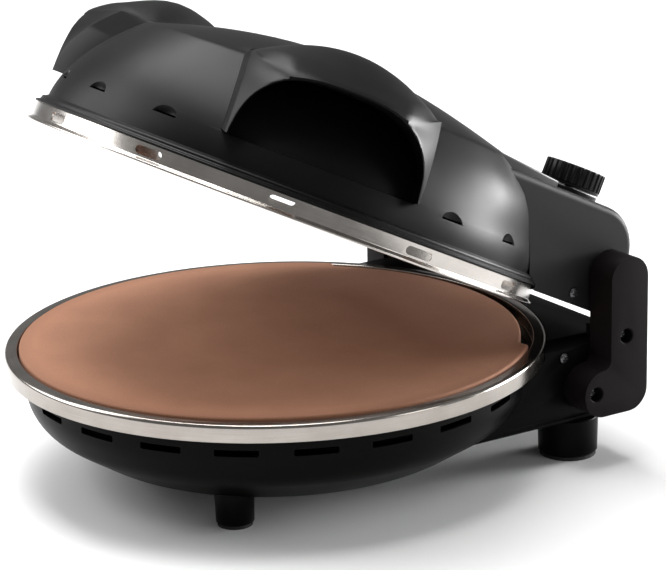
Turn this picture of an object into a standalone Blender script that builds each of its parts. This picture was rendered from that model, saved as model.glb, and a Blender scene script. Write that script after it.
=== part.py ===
"""Countertop pizza oven: a base with a baking stone, a hinged domed lid and a thermostat knob.

Lengths are metres and +Z is up. The front faces -Y. The lid is modelled shut and then hung,
opened, from an empty on the hinge line.
"""

from math import asin, atan2, ceil, cos, pi, radians, sin, tan
from typing import NamedTuple

import bmesh
import bpy
from mathutils import Matrix, Vector

# Fits and facets
GAP = 0.0003
SHELL_GAP = 0.0004
RUNNING_GAP = 0.00015
OVERCUT = 0.002
ROUND = 64
SHEET_ROUND = 44
SMALL_ROUND = 24
SCREW_ROUND = 10
ARC_STEP = radians(20)
COARSE_ARC_STEP = radians(45)
SHARP_ANGLE = radians(32)
WELD = 0.000001

# Base: ring, stone and dish
PLATE_HEIGHT = 0.085
RING_RADIUS = 0.175
RING_DEPTH = 0.011
RING_FLANGE = 0.0082
RING_SHEET = 0.001
RING_EDGE = 0.0006
LEDGE_WIDTH = 0.0088
STONE_GAP = 0.0012
STONE_THICKNESS = 0.010
STONE_PROUD = 0.0015
STONE_NOTCH_DEPTH = 0.0068
STONE_NOTCH_ANGLE = radians(45)
PAN_SHEET = 0.0008
PAN_LAP = 0.0042
PAN_DEPTH = 0.022
PAN_SLOPE = 0.012
PAN_MARGIN = 0.008
DISH_MARGIN = 0.0038
DISH_WALL = 0.0025
DISH_SEAT = 0.0075
DISH_STEP = 0.0023
DISH_TAPER = 0.0006
DISH_SHOULDER = 0.0288
DISH_DEPTH = 0.0573
DISH_FLAT_RADIUS = 0.118
DISH_SHOULDER_ROUND = 0.030
DISH_HEEL_ROUND = 0.045
VENT_WIDTH = 0.027
VENT_HEIGHT = 0.0034
VENT_DROP = 0.022
VENT_PITCH = radians(16.5)
VENTS_EACH_SIDE = 7

# Base: hinge housing, arms and feet
HOUSING_HALF = 0.120
HOUSING_REACH = 0.015
HOUSING_FRONT = 0.050
HOUSING_TOP_DROP = 0.0012
HOUSING_DEPTH = 0.056
HOUSING_CHAMFER_X = 0.008
HOUSING_CHAMFER_Z = 0.005
HOUSING_ROUND = 0.008
HOUSING_WALL = 0.0025
COVER_THICKNESS = 0.002
EAR_WIDTH = 0.007
EAR_RISE = 0.0067
EAR_HALF_LENGTH = 0.010
ARM_THICKNESS = 0.0222
ARM_PROUD = 0.003
ARM_WIDTH = 0.0293
ARM_TOE = 0.0155
ARM_TOE_REACH = 0.0207
ARM_CORNER = 0.0145
ARM_BOTTOM_DROP = 0.0487
ARM_TOP_RISE = 0.0543
ARM_INSIDE_ROUND = 0.006
ARM_UPPER_SCREW_INSET = 0.0168
ARM_UPPER_SCREW_RISE = 0.0023
ARM_LOWER_SCREW_INSET = 0.0405
ARM_LOWER_SCREW_DROP = 0.0326
SIDE_SCREW_INSET = 0.0473
SIDE_SCREW_DROP = 0.0120
SCREW_HEAD = 0.0034
SCREW_HEAD_HEIGHT = 0.0018
SCREW_SHANK = 0.0019
SCREW_BITE = 0.006
RECESS_RADIUS = 0.0048
RECESS_DEPTH = 0.007
PAD_THICKNESS = 0.0022
PAD_INSET = 0.0015
FRONT_FOOT_ANGLE = radians(45.5)
FRONT_FOOT_INSET = 0.0013
FRONT_FOOT_RADIUS = 0.0125
REAR_FOOT_INSET_X = 0.0185
REAR_FOOT_INSET_Y = 0.0295
REAR_FOOT_RADIUS = 0.020
FOOT_TAPER = 0.0006
GLAND = (-0.070, -0.034)
GLAND_RADIUS = 0.006
GLAND_BORE = 0.0035
GLAND_FLANGE = 0.009
GLAND_FLANGE_THICKNESS = 0.0025
GLAND_NOSE = 0.005
TERMINAL_X = -0.045
TERMINAL_INSET = 0.024
TERMINAL_SIZE = (0.042, 0.018, 0.015)

# Hinge
HINGE_RISE = 0.029
LID_OPEN = radians(26)
PIN_RADIUS = 0.004
PIN_HEAD = 0.0065
PIN_HEAD_HEIGHT = 0.002
PIN_DEPTH = 0.015
LID_SIDE_GAP = 0.0024
WASHER_RADIUS = 0.012

# Lid
LID_REST_GAP = 0.001
LIP_WIDTH = 0.0025
LIP_HEIGHT = 0.0012
BAND_INSET = 0.0065
BAND_HEIGHT = 0.0119
BAND_SHEET = 0.001
SLOT_LENGTH = 0.019
SLOT_HEIGHT = 0.0044
SLOT_RISE = 0.0072
SLOT_PITCH = radians(28.3)
SLOTS_EACH_SIDE = 4
FLANGE_OVERHANG = 0.0014
FLANGE_LIP = 0.0014
FLANGE_STEP = 0.0025
FLANGE_RISE = 0.0044
DOME_WALL = 0.003
DOME_FOOT_INSET = 0.0064
DOME_DRAW_IN = 0.0415
DOME_WALL_HEIGHT = 0.0685
DOME_CROWN_RISE = 0.0235
DOME_POWER = 1.9
REFLECTOR_SHEET = 0.001
REFLECTOR_LAP = 0.0095
REFLECTOR_RISE = 0.045
REFLECTOR_SLOPE = 0.028

# Finger hoods
HOOD_AZIMUTH = radians(61.5)
HOOD_PROUD = 0.0001
HOOD_HALF = 0.0585
HOOD_CHEEK = 0.0018
HOOD_SILL_RISE = 0.0208
HOOD_ARCH_RISE = 0.0465
HOOD_BROW_RISE = 0.0723
HOOD_DROOP = 0.0045
HOOD_SWELL = 0.020
HOOD_CREST_INSET = 0.001
HOOD_CREST_RUN = 0.007
HOOD_ROOT_INSET = 0.007
HOOD_ARCH_POWER = 3.0
HOOD_ARCH_ROOT = 0.4545
HOOD_ARCH_LEAST = 0.07
HOOD_DROOP_POWER = 4

# Lid hinge housing and control
LID_HOUSING_LENGTH = 0.1245
LID_HOUSING_PROUD = 0.0005
LID_HOUSING_RISE = 0.0105
LID_HOUSING_HEIGHT = 0.0665
LID_HOUSING_TOP_ROUND = 0.030
LID_HOUSING_LOW_ROUND = 0.006
LID_HOUSING_WALL = 0.003
LID_SCREW_INSET = 0.0362
LID_SCREW_RISE = 0.0177
PANEL_INSET = 0.0008
PANEL_MARGIN = 0.0035
PANEL_THICKNESS = 0.0016
PANEL_ROUND = 0.006
KNOB_INSET = 0.0244
KNOB_RADIUS = 0.0186
KNOB_RIB = 0.0005
KNOB_RIBS = 36
KNOB_HEIGHT = 0.0112
KNOB_ROOF = 0.0022
KNOB_LIFT = 0.0012
COLLAR_RADIUS = 0.0165
COLLAR_HEIGHT = 0.0026
SHAFT_RADIUS = 0.003
SHAFT_GRIP = 0.010
THERMOSTAT_SIZE = (0.028, 0.028, 0.016)

# Heating elements
ELEMENT_RADIUS = 0.105
ELEMENT_TUBE = 0.0033
ELEMENT_LIFT = 0.011
ELEMENT_BEND = 0.008
ELEMENT_TAIL = 0.012
ELEMENT_GAP_ANGLE = radians(10)
ELEMENT_STEPS = 34
ELEMENT_HOLE = 0.0048
CLIP_WALL = 0.0016
CLIP_WIDTH = 0.008
CLIP_ANGLES = (radians(30), radians(150), radians(270))

# Levels of the base, from the table up
RING_TOP = PLATE_HEIGHT
STONE_BOTTOM = RING_TOP + STONE_PROUD - STONE_THICKNESS
LEDGE_BOTTOM = STONE_BOTTOM - GAP - RING_SHEET
PAN_RIM = LEDGE_BOTTOM - GAP
DISH_RIM = PAN_RIM - PAN_SHEET - GAP
DISH_FLOOR = DISH_RIM - DISH_DEPTH
HOUSING_TOP = RING_TOP - HOUSING_TOP_DROP
HOUSING_BOTTOM = HOUSING_TOP - HOUSING_DEPTH
PAN_FLOOR = PAN_RIM - PAN_DEPTH

# Radii of the base, from the ring in
FLANGE_INNER = RING_RADIUS - RING_FLANGE
STONE_RADIUS = FLANGE_INNER - STONE_GAP
LEDGE_RADIUS = FLANGE_INNER - LEDGE_WIDTH
DISH_RADIUS = FLANGE_INNER - DISH_MARGIN
PAN_RADIUS = LEDGE_RADIUS + PAN_LAP
DISH_SEAT_RADIUS = DISH_RADIUS - DISH_SEAT
PAN_WALL_RADIUS = DISH_SEAT_RADIUS - PAN_MARGIN

# Lengths from front to back
HOUSING_REAR = RING_RADIUS + HOUSING_REACH
ARM_REAR = HOUSING_REAR + ARM_PROUD
ARM_FRONT = ARM_REAR - ARM_WIDTH
ARM_TOE_FRONT = ARM_FRONT - ARM_TOE_REACH
HINGE_Y = ARM_REAR - ARM_CORNER
LID_HOUSING_REAR = HOUSING_REAR + LID_HOUSING_PROUD
LID_HOUSING_FRONT = LID_HOUSING_REAR - LID_HOUSING_LENGTH
PANEL_REAR = LID_HOUSING_REAR - LID_HOUSING_TOP_ROUND - PANEL_MARGIN

# Radii of the lid, from the ring in
BAND_RADIUS = RING_RADIUS - BAND_INSET
LIP_RADIUS = BAND_RADIUS + LIP_WIDTH
FLANGE_RADIUS = BAND_RADIUS + FLANGE_OVERHANG
DOME_FOOT_RADIUS = FLANGE_RADIUS - DOME_FOOT_INSET
RIDGE_RADIUS = DOME_FOOT_RADIUS - DOME_DRAW_IN
HOOD_RADIUS = FLANGE_RADIUS + HOOD_PROUD
HOOD_CREST_RADIUS = RIDGE_RADIUS - HOOD_CREST_INSET
HOOD_CREST_REACH = HOOD_RADIUS - HOOD_CREST_RADIUS + HOOD_CREST_RUN
HOOD_ROOT_RADIUS = RIDGE_RADIUS - HOOD_ROOT_INSET

# Levels of the shut lid
HINGE_Z = RING_TOP + HINGE_RISE
LIP_BOTTOM = RING_TOP + LID_REST_GAP
BAND_TOP = LIP_BOTTOM + BAND_HEIGHT
DOME_BOTTOM = BAND_TOP + GAP
WALL_FOOT = DOME_BOTTOM + FLANGE_LIP
RIDGE_Z = WALL_FOOT + DOME_WALL_HEIGHT
CROWN_Z = RIDGE_Z + DOME_CROWN_RISE
HOOD_SILL = DOME_BOTTOM + HOOD_SILL_RISE
HOOD_BROW = DOME_BOTTOM + HOOD_BROW_RISE
REFLECTOR_TOP = BAND_TOP + REFLECTOR_RISE
LID_HOUSING_BOTTOM = RING_TOP + LID_HOUSING_RISE
LID_HOUSING_TOP = LID_HOUSING_BOTTOM + LID_HOUSING_HEIGHT
PANEL_TOP = LID_HOUSING_TOP + GAP + PANEL_THICKNESS
COLLAR_TOP = PANEL_TOP + GAP + COLLAR_HEIGHT
KNOB_BOTTOM = COLLAR_TOP + KNOB_LIFT
KNOB_TOP = KNOB_BOTTOM + KNOB_HEIGHT

# Widths across the hinge
ARM_INNER = HOUSING_HALF + GAP
ARM_OUTER = ARM_INNER + ARM_THICKNESS
LID_HOUSING_HALF = ARM_INNER - LID_SIDE_GAP
SIDES = (("right", 1), ("left", -1))

# Places: screws as y and rise, the rest as x and y
ARM_UPPER_SCREW = (ARM_REAR - ARM_UPPER_SCREW_INSET, ARM_UPPER_SCREW_RISE)
ARM_LOWER_SCREW = (ARM_REAR - ARM_LOWER_SCREW_INSET, -ARM_LOWER_SCREW_DROP)
SIDE_SCREW = (HOUSING_REAR - SIDE_SCREW_INSET, -SIDE_SCREW_DROP)
LID_SCREW = (LID_HOUSING_REAR - LID_SCREW_INSET, LID_SCREW_RISE)
FRONT_FOOT_REACH = DISH_FLAT_RADIUS - FRONT_FOOT_INSET
FRONT_FOOT = (FRONT_FOOT_REACH * sin(FRONT_FOOT_ANGLE), -FRONT_FOOT_REACH * cos(FRONT_FOOT_ANGLE))
REAR_FOOT = (HOUSING_HALF - REAR_FOOT_INSET_X, HOUSING_REAR - REAR_FOOT_INSET_Y)
TERMINAL_PLACE = (TERMINAL_X, HOUSING_REAR - TERMINAL_INSET)
KNOB_PLACE = (LID_HOUSING_HALF - KNOB_INSET, PANEL_REAR - COLLAR_RADIUS)

# Outline axes: each takes the flat outline's x, y and depth to the oven's frame
ALONG_X = Matrix(((0, 0, 1, 0), (1, 0, 0, 0), (0, 1, 0, 0), (0, 0, 0, 1)))
ALONG_Y = Matrix(((1, 0, 0, 0), (0, 0, 1, 0), (0, 1, 0, 0), (0, 0, 0, 1)))
UPRIGHT = Matrix.Identity(4)

# Finishes: colour, roughness and metal share
BLACK_PLASTIC = ((0.022, 0.021, 0.021), 0.48, 0.0)
ARM_PLASTIC = ((0.028, 0.026, 0.026), 0.55, 0.0)
STEEL = ((0.66, 0.64, 0.61), 0.18, 1.0)
STONE = ((0.40, 0.22, 0.14), 0.85, 0.0)
ALUMINIUM = ((0.72, 0.72, 0.72), 0.35, 1.0)
ELEMENT = ((0.10, 0.095, 0.09), 0.5, 1.0)
ZINC = ((0.30, 0.30, 0.31), 0.35, 1.0)
RUBBER = ((0.03, 0.03, 0.03), 0.9, 0.0)
CERAMIC = ((0.75, 0.72, 0.66), 0.6, 0.0)


class Carrier(NamedTuple):
    """An empty that pieces ride on, and its place in the shut oven's frame."""

    empty: bpy.types.Object
    origin: Vector


def clear_scene():
    """Remove everything the start-up scene holds."""
    for found in list(bpy.data.objects):
        bpy.data.objects.remove(found, do_unlink=True)


def add_carrier(name, origin, parent=None):
    """Add an empty at a place given in the shut oven's frame."""
    empty = bpy.data.objects.new(name, None)
    bpy.context.scene.collection.objects.link(empty)
    place = Vector(origin)
    if parent:
        empty.parent = parent.empty
        empty.location = place - parent.origin
    return Carrier(empty, place)


def paint(name, finish):
    """Make a piece's own material."""
    colour, roughness, metal = finish
    made = bpy.data.materials.new(name)
    made.use_nodes = True
    shader = made.node_tree.nodes["Principled BSDF"]
    shader.inputs["Base Color"].default_value = (*colour, 1.0)
    shader.inputs["Roughness"].default_value = roughness
    shader.inputs["Metallic"].default_value = metal
    return made


def add_piece(name, bm, finish, carrier):
    """Store a bmesh built in the shut oven's frame as an object on its carrier."""
    bmesh.ops.recalc_face_normals(bm, faces=bm.faces)
    bmesh.ops.translate(bm, verts=bm.verts, vec=-carrier.origin)
    mesh = bpy.data.meshes.new(name)
    bm.to_mesh(mesh)
    bm.free()
    mesh.shade_smooth()
    mesh.set_sharp_from_angle(angle=SHARP_ANGLE)
    piece = bpy.data.objects.new(name, mesh)
    bpy.context.scene.collection.objects.link(piece)
    piece.parent = carrier.empty
    if finish:
        mesh.materials.append(paint(name, finish))
    else:
        piece.hide_render = True
        piece.display_type = "WIRE"
    return piece


def rounded(corners, arc_step=ARC_STEP):
    """Turn corners, each (a, b) or (a, b, radius), into an outline with arcs at the radii."""
    outline = []
    for index, corner in enumerate(corners):
        here = Vector(corner[:2])
        radius = corner[2] if len(corner) > 2 else 0.0
        if not radius:
            outline.append(tuple(here))
            continue
        before = (Vector(corners[index - 1][:2]) - here).normalized()
        after = (Vector(corners[(index + 1) % len(corners)][:2]) - here).normalized()
        half = before.angle(after) / 2
        centre = here + (before + after).normalized() * (radius / sin(half))
        start = here + before * (radius / tan(half)) - centre
        end = here + after * (radius / tan(half)) - centre
        turn = atan2(start.x * end.y - start.y * end.x, start.dot(end))
        steps = max(2, ceil(abs(turn) / arc_step))
        for step in range(steps + 1):
            angle = turn * step / steps
            outline.append((centre.x + start.x * cos(angle) - start.y * sin(angle),
                            centre.y + start.x * sin(angle) + start.y * cos(angle)))
    return outline


def spin_piece(name, outline, finish, carrier, segments=ROUND, places=(UPRIGHT,)):
    """Spin a closed outline of (radius, height) points about its axis, once for each place."""
    bm = bmesh.new()
    for place in places:
        verts = [bm.verts.new((radius, 0.0, height)) for radius, height in outline]
        pairs = zip(verts, verts[1:] + verts[:1])
        edges = [bm.edges.new(pair) for pair in pairs if max(v.co.x for v in pair) > WELD]
        before = set(bm.verts) - set(verts)
        bmesh.ops.spin(bm, geom=verts + edges, cent=(0, 0, 0), axis=(0, 0, 1), angle=2 * pi,
                       steps=segments, use_merge=True)
        fresh = [vert for vert in bm.verts if vert not in before]
        bmesh.ops.transform(bm, matrix=place, verts=fresh)
    bmesh.ops.remove_doubles(bm, verts=bm.verts, dist=WELD)
    return add_piece(name, bm, finish, carrier)


def prism_piece(name, outline, low, high, finish, carrier, places=(UPRIGHT,)):
    """Extrude a flat outline from one depth to another, once for each place."""
    bm = bmesh.new()
    for place in places:
        face = bm.faces.new([bm.verts.new((*point, low)) for point in outline])
        made = bmesh.ops.extrude_face_region(bm, geom=[face], use_keep_orig=True)
        moved = [item for item in made["geom"] if isinstance(item, bmesh.types.BMVert)]
        bmesh.ops.translate(bm, verts=moved, vec=(0, 0, high - low))
        bmesh.ops.transform(bm, matrix=place, verts=moved + list(face.verts))
    return add_piece(name, bm, finish, carrier)


def box_outline(across, along, centre=(0.0, 0.0)):
    """Give a rectangle's corners about a centre."""
    half_a, half_b = across / 2, along / 2
    return [(centre[0] + a, centre[1] + b)
            for a, b in ((-half_a, -half_b), (half_a, -half_b), (half_a, half_b), (-half_a, half_b))]


def cut(piece, tool, operation="DIFFERENCE"):
    """Cut a tool out of a piece, or join it on."""
    step = piece.modifiers.new(operation.lower(), "BOOLEAN")
    step.operation = operation
    step.solver = "EXACT"
    step.object = tool


def to_side(side, y, z):
    """Place an outline's axis along X, outwards to one side, through a point."""
    return Matrix.Translation((0.0, y, z)) @ Matrix.Rotation(side * pi / 2, 4, "Y")


def about(angle):
    """Turn about the oven's own axis, counted from the front towards the right."""
    return Matrix.Rotation(angle - pi / 2, 4, "Z")


def screw_outline(under_head, bite):
    """Outline of a pan-head screw along its axis, its head resting at a depth."""
    return [(0.0, under_head - bite), (SCREW_SHANK, under_head - bite), (SCREW_SHANK, under_head),
            (SCREW_HEAD, under_head), (SCREW_HEAD, under_head + SCREW_HEAD_HEIGHT * 0.6),
            (SCREW_HEAD * 0.7, under_head + SCREW_HEAD_HEIGHT),
            (0.0, under_head + SCREW_HEAD_HEIGHT)]


def rod_outline(radius, low, high):
    """Outline of a plain rod along its axis."""
    return [(0.0, low), (radius, low), (radius, high), (0.0, high)]


def dish_outside(offset):
    """Corners of the dish's outer face, pushed out by an offset."""
    return [(DISH_RADIUS + offset, DISH_RIM),
            (DISH_RADIUS - DISH_TAPER + offset, DISH_RIM - DISH_SHOULDER, DISH_SHOULDER_ROUND),
            (DISH_FLAT_RADIUS + offset, DISH_FLOOR - offset, DISH_HEEL_ROUND),
            (0.0, DISH_FLOOR - offset)]


def build_dish(base):
    """Bowl under the ring, with its row of vents."""
    inside = [(0.0, DISH_FLOOR + DISH_WALL),
              (DISH_FLAT_RADIUS - DISH_WALL, DISH_FLOOR + DISH_WALL, DISH_HEEL_ROUND - DISH_WALL),
              (DISH_RADIUS - DISH_TAPER - DISH_WALL, DISH_RIM - DISH_SHOULDER + DISH_WALL / 2,
               DISH_SHOULDER_ROUND - DISH_WALL),
              (DISH_RADIUS - DISH_WALL, DISH_RIM - 2 * DISH_STEP),
              (DISH_SEAT_RADIUS, DISH_RIM - DISH_STEP),
              (DISH_SEAT_RADIUS, DISH_RIM)]
    dish = spin_piece("base_dish", rounded(dish_outside(0.0) + inside), BLACK_PLASTIC, base)
    height = RING_TOP - VENT_DROP
    slot = box_outline(VENT_WIDTH, VENT_HEIGHT, (0.0, height))
    turns = range(-VENTS_EACH_SIDE, VENTS_EACH_SIDE + 1)
    places = [about(pi / 2 + turn * VENT_PITCH) @ ALONG_Y for turn in turns]
    vents = prism_piece("vent_tool", slot, -DISH_RADIUS - OVERCUT, -DISH_RADIUS + 4 * DISH_WALL,
                        None, base, places)
    cut(dish, vents)


def build_ring(base):
    """Steel channel ring with an inner ledge for the stone."""
    inner = FLANGE_INNER
    spin_piece("base_ring", [
        (RING_RADIUS - RING_SHEET, RING_TOP - RING_DEPTH),
        (RING_RADIUS, RING_TOP - RING_DEPTH),
        (RING_RADIUS, RING_TOP - RING_EDGE),
        (RING_RADIUS - RING_EDGE, RING_TOP),
        (inner, RING_TOP),
        (inner, STONE_BOTTOM - GAP),
        (LEDGE_RADIUS, STONE_BOTTOM - GAP),
        (LEDGE_RADIUS, LEDGE_BOTTOM),
        (inner + RING_SHEET, LEDGE_BOTTOM),
        (inner + RING_SHEET, RING_TOP - RING_SHEET),
        (RING_RADIUS - RING_SHEET, RING_TOP - RING_SHEET)], STEEL, base)


def build_stone(base):
    """Round baking stone, cut back along a shallow notch at the rear."""
    notch = STONE_RADIUS - STONE_NOTCH_DEPTH
    outline = []
    for step in range(ROUND):
        angle = 2 * pi * step / ROUND
        if abs(angle - pi) >= STONE_NOTCH_ANGLE:
            outline.append((STONE_RADIUS * sin(angle), -STONE_RADIUS * cos(angle)))
    cuts = max(4, ceil(2 * STONE_NOTCH_ANGLE / (2 * pi / ROUND)))
    rear = []
    for step in range(cuts + 1):
        angle = pi - STONE_NOTCH_ANGLE + 2 * STONE_NOTCH_ANGLE * step / cuts
        rear.append((notch * sin(angle), -notch * cos(angle)))
    split = sum(1 for step in range(ROUND) if 2 * pi * step / ROUND <= pi - STONE_NOTCH_ANGLE)
    prism_piece("baking_stone", outline[:split] + rear + outline[split:],
                STONE_BOTTOM, STONE_BOTTOM + STONE_THICKNESS, STONE, base)


def element_path(level, way):
    """Loop of a heating element whose two tails turn up (way 1) or down (way -1)."""
    start = pi / 2 + ELEMENT_GAP_ANGLE
    sweep = 2 * pi - 2 * ELEMENT_GAP_ANGLE
    loop = [(ELEMENT_RADIUS * cos(start + sweep * step / ELEMENT_STEPS),
             ELEMENT_RADIUS * sin(start + sweep * step / ELEMENT_STEPS), level)
            for step in range(ELEMENT_STEPS + 1)]
    last = pi / 2 - ELEMENT_GAP_ANGLE
    tail = []
    for share in (1, 2, 3):
        bend = share * pi / 6
        ahead = ELEMENT_BEND * sin(bend)
        tail.append((loop[-1][0] - ahead * sin(last), loop[-1][1] + ahead * cos(last),
                     level + way * ELEMENT_BEND * (1 - cos(bend))))
    tail.append((tail[-1][0], tail[-1][1], tail[-1][2] + way * ELEMENT_TAIL))
    lead = [(-x, y, z) for x, y, z in reversed(tail)]
    return lead + loop + tail


def build_element(name, level, way, carrier):
    """Bent tube heating element."""
    path = element_path(level, way)
    curve = bpy.data.curves.new(name, "CURVE")
    curve.dimensions = "3D"
    curve.bevel_depth = ELEMENT_TUBE
    curve.bevel_resolution = 1
    curve.use_fill_caps = True
    spline = curve.splines.new("POLY")
    spline.points.add(len(path) - 1)
    for point, place in zip(spline.points, path):
        point.co = (*(Vector(place) - carrier.origin), 1.0)
    curve.materials.append(paint(name, ELEMENT))
    piece = bpy.data.objects.new(name, curve)
    bpy.context.scene.collection.objects.link(piece)
    piece.parent = carrier.empty
    return path[-1]


def build_clips(name, level, seat, way, carrier):
    """Three forks that hold an element off its sheet."""
    inner = ELEMENT_TUBE + SHELL_GAP
    outer = inner + CLIP_WALL
    fork = [(-outer, seat), (outer, seat), (outer, level), (inner, level), (inner, level + way * inner),
            (-inner, level + way * inner), (-inner, level), (-outer, level)]
    for index, angle in enumerate(CLIP_ANGLES):
        shifted = [(ELEMENT_RADIUS + across, up) for across, up in fork]
        prism_piece(f"{name}_{index + 1}", shifted, -CLIP_WIDTH / 2, CLIP_WIDTH / 2, ZINC, carrier,
                    [Matrix.Rotation(angle, 4, "Z") @ ALONG_Y])


def element_holes(name, end, carrier):
    """Tool that opens a sheet for an element's two tails."""
    outline = rod_outline(ELEMENT_HOLE, end[2] - ELEMENT_BEND - ELEMENT_TAIL,
                          end[2] + ELEMENT_BEND + ELEMENT_TAIL)
    places = [Matrix.Translation((x, end[1], 0.0)) for x in (end[0], -end[0])]
    return spin_piece(name, outline, None, carrier, SCREW_ROUND, places)


def build_lower_heat(base):
    """Reflector pan on the dish's rim, with the lower element in it."""
    inner = PAN_WALL_RADIUS - PAN_SLOPE
    pan = spin_piece("lower_reflector", [
        (PAN_RADIUS, PAN_RIM), (PAN_WALL_RADIUS, PAN_RIM), (inner, PAN_FLOOR), (0.0, PAN_FLOOR),
        (0.0, PAN_FLOOR - PAN_SHEET), (inner + PAN_SHEET / 2, PAN_FLOOR - PAN_SHEET),
        (PAN_WALL_RADIUS + PAN_SHEET, PAN_RIM - PAN_SHEET), (PAN_RADIUS, PAN_RIM - PAN_SHEET)],
        ALUMINIUM, base, SHEET_ROUND)
    level = PAN_FLOOR + ELEMENT_LIFT
    end = build_element("lower_element", level, -1, base)
    cut(pan, element_holes("lower_hole_tool", end, base))
    build_clips("lower_clip", level, PAN_FLOOR + GAP, -1, base)


def base_envelope(base):
    """Tool in the shape of the dish and ring with a gap all round."""
    outline = [(0.0, RING_TOP + EAR_RISE), (RING_RADIUS + SHELL_GAP, RING_TOP + EAR_RISE),
               (RING_RADIUS + SHELL_GAP, RING_TOP - RING_DEPTH - SHELL_GAP)]
    lower = dish_outside(SHELL_GAP)
    lower[0] = (lower[0][0], RING_TOP - RING_DEPTH - SHELL_GAP)
    return spin_piece("base_envelope_tool", rounded(outline + lower), None, base)


def build_housing(base, envelope):
    """Box behind the dish that carries the arms, with its bottom cover and what is inside."""
    edge_x = HOUSING_HALF - HOUSING_CHAMFER_X
    edge_z = HOUSING_TOP - HOUSING_CHAMFER_Z
    section = rounded([(HOUSING_HALF, HOUSING_BOTTOM, HOUSING_ROUND), (HOUSING_HALF, edge_z),
                       (edge_x, HOUSING_TOP), (-edge_x, HOUSING_TOP), (-HOUSING_HALF, edge_z),
                       (-HOUSING_HALF, HOUSING_BOTTOM, HOUSING_ROUND)])
    housing = prism_piece("base_hinge_housing", section, HOUSING_FRONT, HOUSING_REAR,
                          BLACK_PLASTIC, base, [ALONG_Y])
    wall = HOUSING_WALL
    ears = prism_piece("ear_tool", box_outline(2 * EAR_HALF_LENGTH, EAR_RISE + 4 * wall,
                                               (ARM_UPPER_SCREW[0], HOUSING_TOP + EAR_RISE / 2 - 2 * wall)),
                       -EAR_WIDTH / 2, EAR_WIDTH / 2, None, base,
                       [Matrix.Translation((side * (HOUSING_HALF - EAR_WIDTH / 2), 0.0, 0.0)) @ ALONG_X
                        for _, side in SIDES])
    cavity = [(HOUSING_HALF - wall, HOUSING_BOTTOM - OVERCUT), (HOUSING_HALF - wall, edge_z - wall / 2),
              (edge_x - wall / 2, HOUSING_TOP - wall), (wall / 2 - edge_x, HOUSING_TOP - wall),
              (wall - HOUSING_HALF, edge_z - wall / 2), (wall - HOUSING_HALF, HOUSING_BOTTOM - OVERCUT)]
    hollow = prism_piece("housing_hollow_tool", cavity, HOUSING_FRONT - OVERCUT, HOUSING_REAR - wall,
                         None, base, [ALONG_Y])
    gland_place = Matrix.Translation((GLAND[0], HOUSING_REAR, RING_TOP + GLAND[1]))
    gland_place = gland_place @ Matrix.Rotation(-pi / 2, 4, "X")
    gland_hole = spin_piece("gland_hole_tool", rod_outline(GLAND_RADIUS + GAP, -2 * wall, 2 * wall), None,
                            base, SMALL_ROUND, [gland_place])
    cut(housing, hollow)
    cut(housing, ears, "UNION")
    cut(housing, envelope)
    cut(housing, screw_holes(base))
    cut(housing, gland_hole)

    half = HOUSING_HALF - wall - GAP
    cover = prism_piece("housing_cover", [(half, HOUSING_FRONT), (half, HOUSING_REAR - wall - GAP),
                                          (-half, HOUSING_REAR - wall - GAP), (-half, HOUSING_FRONT)],
                        HOUSING_BOTTOM, HOUSING_BOTTOM + COVER_THICKNESS, BLACK_PLASTIC, base)
    cut(cover, envelope)
    floor = HOUSING_BOTTOM + COVER_THICKNESS + GAP
    prism_piece("terminal_block", box_outline(TERMINAL_SIZE[0], TERMINAL_SIZE[1], TERMINAL_PLACE),
                floor, floor + TERMINAL_SIZE[2], CERAMIC, base)
    spin_piece("cord_gland", [
        (GLAND_BORE, -2 * wall), (GLAND_RADIUS, -2 * wall), (GLAND_RADIUS, GAP), (GLAND_FLANGE, GAP),
        (GLAND_FLANGE, GLAND_FLANGE_THICKNESS), (GLAND_RADIUS, GLAND_FLANGE_THICKNESS),
        (GLAND_RADIUS - GLAND_BORE / 2, GLAND_FLANGE_THICKNESS + GLAND_NOSE),
        (GLAND_BORE, GLAND_FLANGE_THICKNESS + GLAND_NOSE)], RUBBER, base, SMALL_ROUND, [gland_place])


def screw_places():
    """Places of every screw that goes into a side of the base housing."""
    spots = (ARM_UPPER_SCREW, ARM_LOWER_SCREW, SIDE_SCREW)
    return [to_side(side, y, RING_TOP + rise) for y, rise in spots for _, side in SIDES]


def screw_holes(base):
    """Tool that opens the base housing's sides for the screws."""
    outline = rod_outline(SCREW_SHANK + GAP, HOUSING_HALF - EAR_WIDTH - OVERCUT, HOUSING_HALF + OVERCUT)
    return spin_piece("side_hole_tool", outline, None, base, SCREW_ROUND, screw_places())


def arm_outline():
    """Side view of a hinge arm, an upright with a rounded toe to the front."""
    bottom = RING_TOP - ARM_BOTTOM_DROP
    toe_top = bottom + 2 * ARM_TOE
    top = RING_TOP + ARM_TOP_RISE
    nearly = 0.995
    return rounded([
        (ARM_REAR, bottom, ARM_CORNER),
        (ARM_REAR, top, ARM_CORNER * nearly), (ARM_FRONT, top, ARM_CORNER * nearly),
        (ARM_FRONT, toe_top, ARM_INSIDE_ROUND),
        (ARM_TOE_FRONT, toe_top, ARM_TOE * nearly), (ARM_TOE_FRONT, bottom, ARM_TOE * nearly)])


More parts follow.
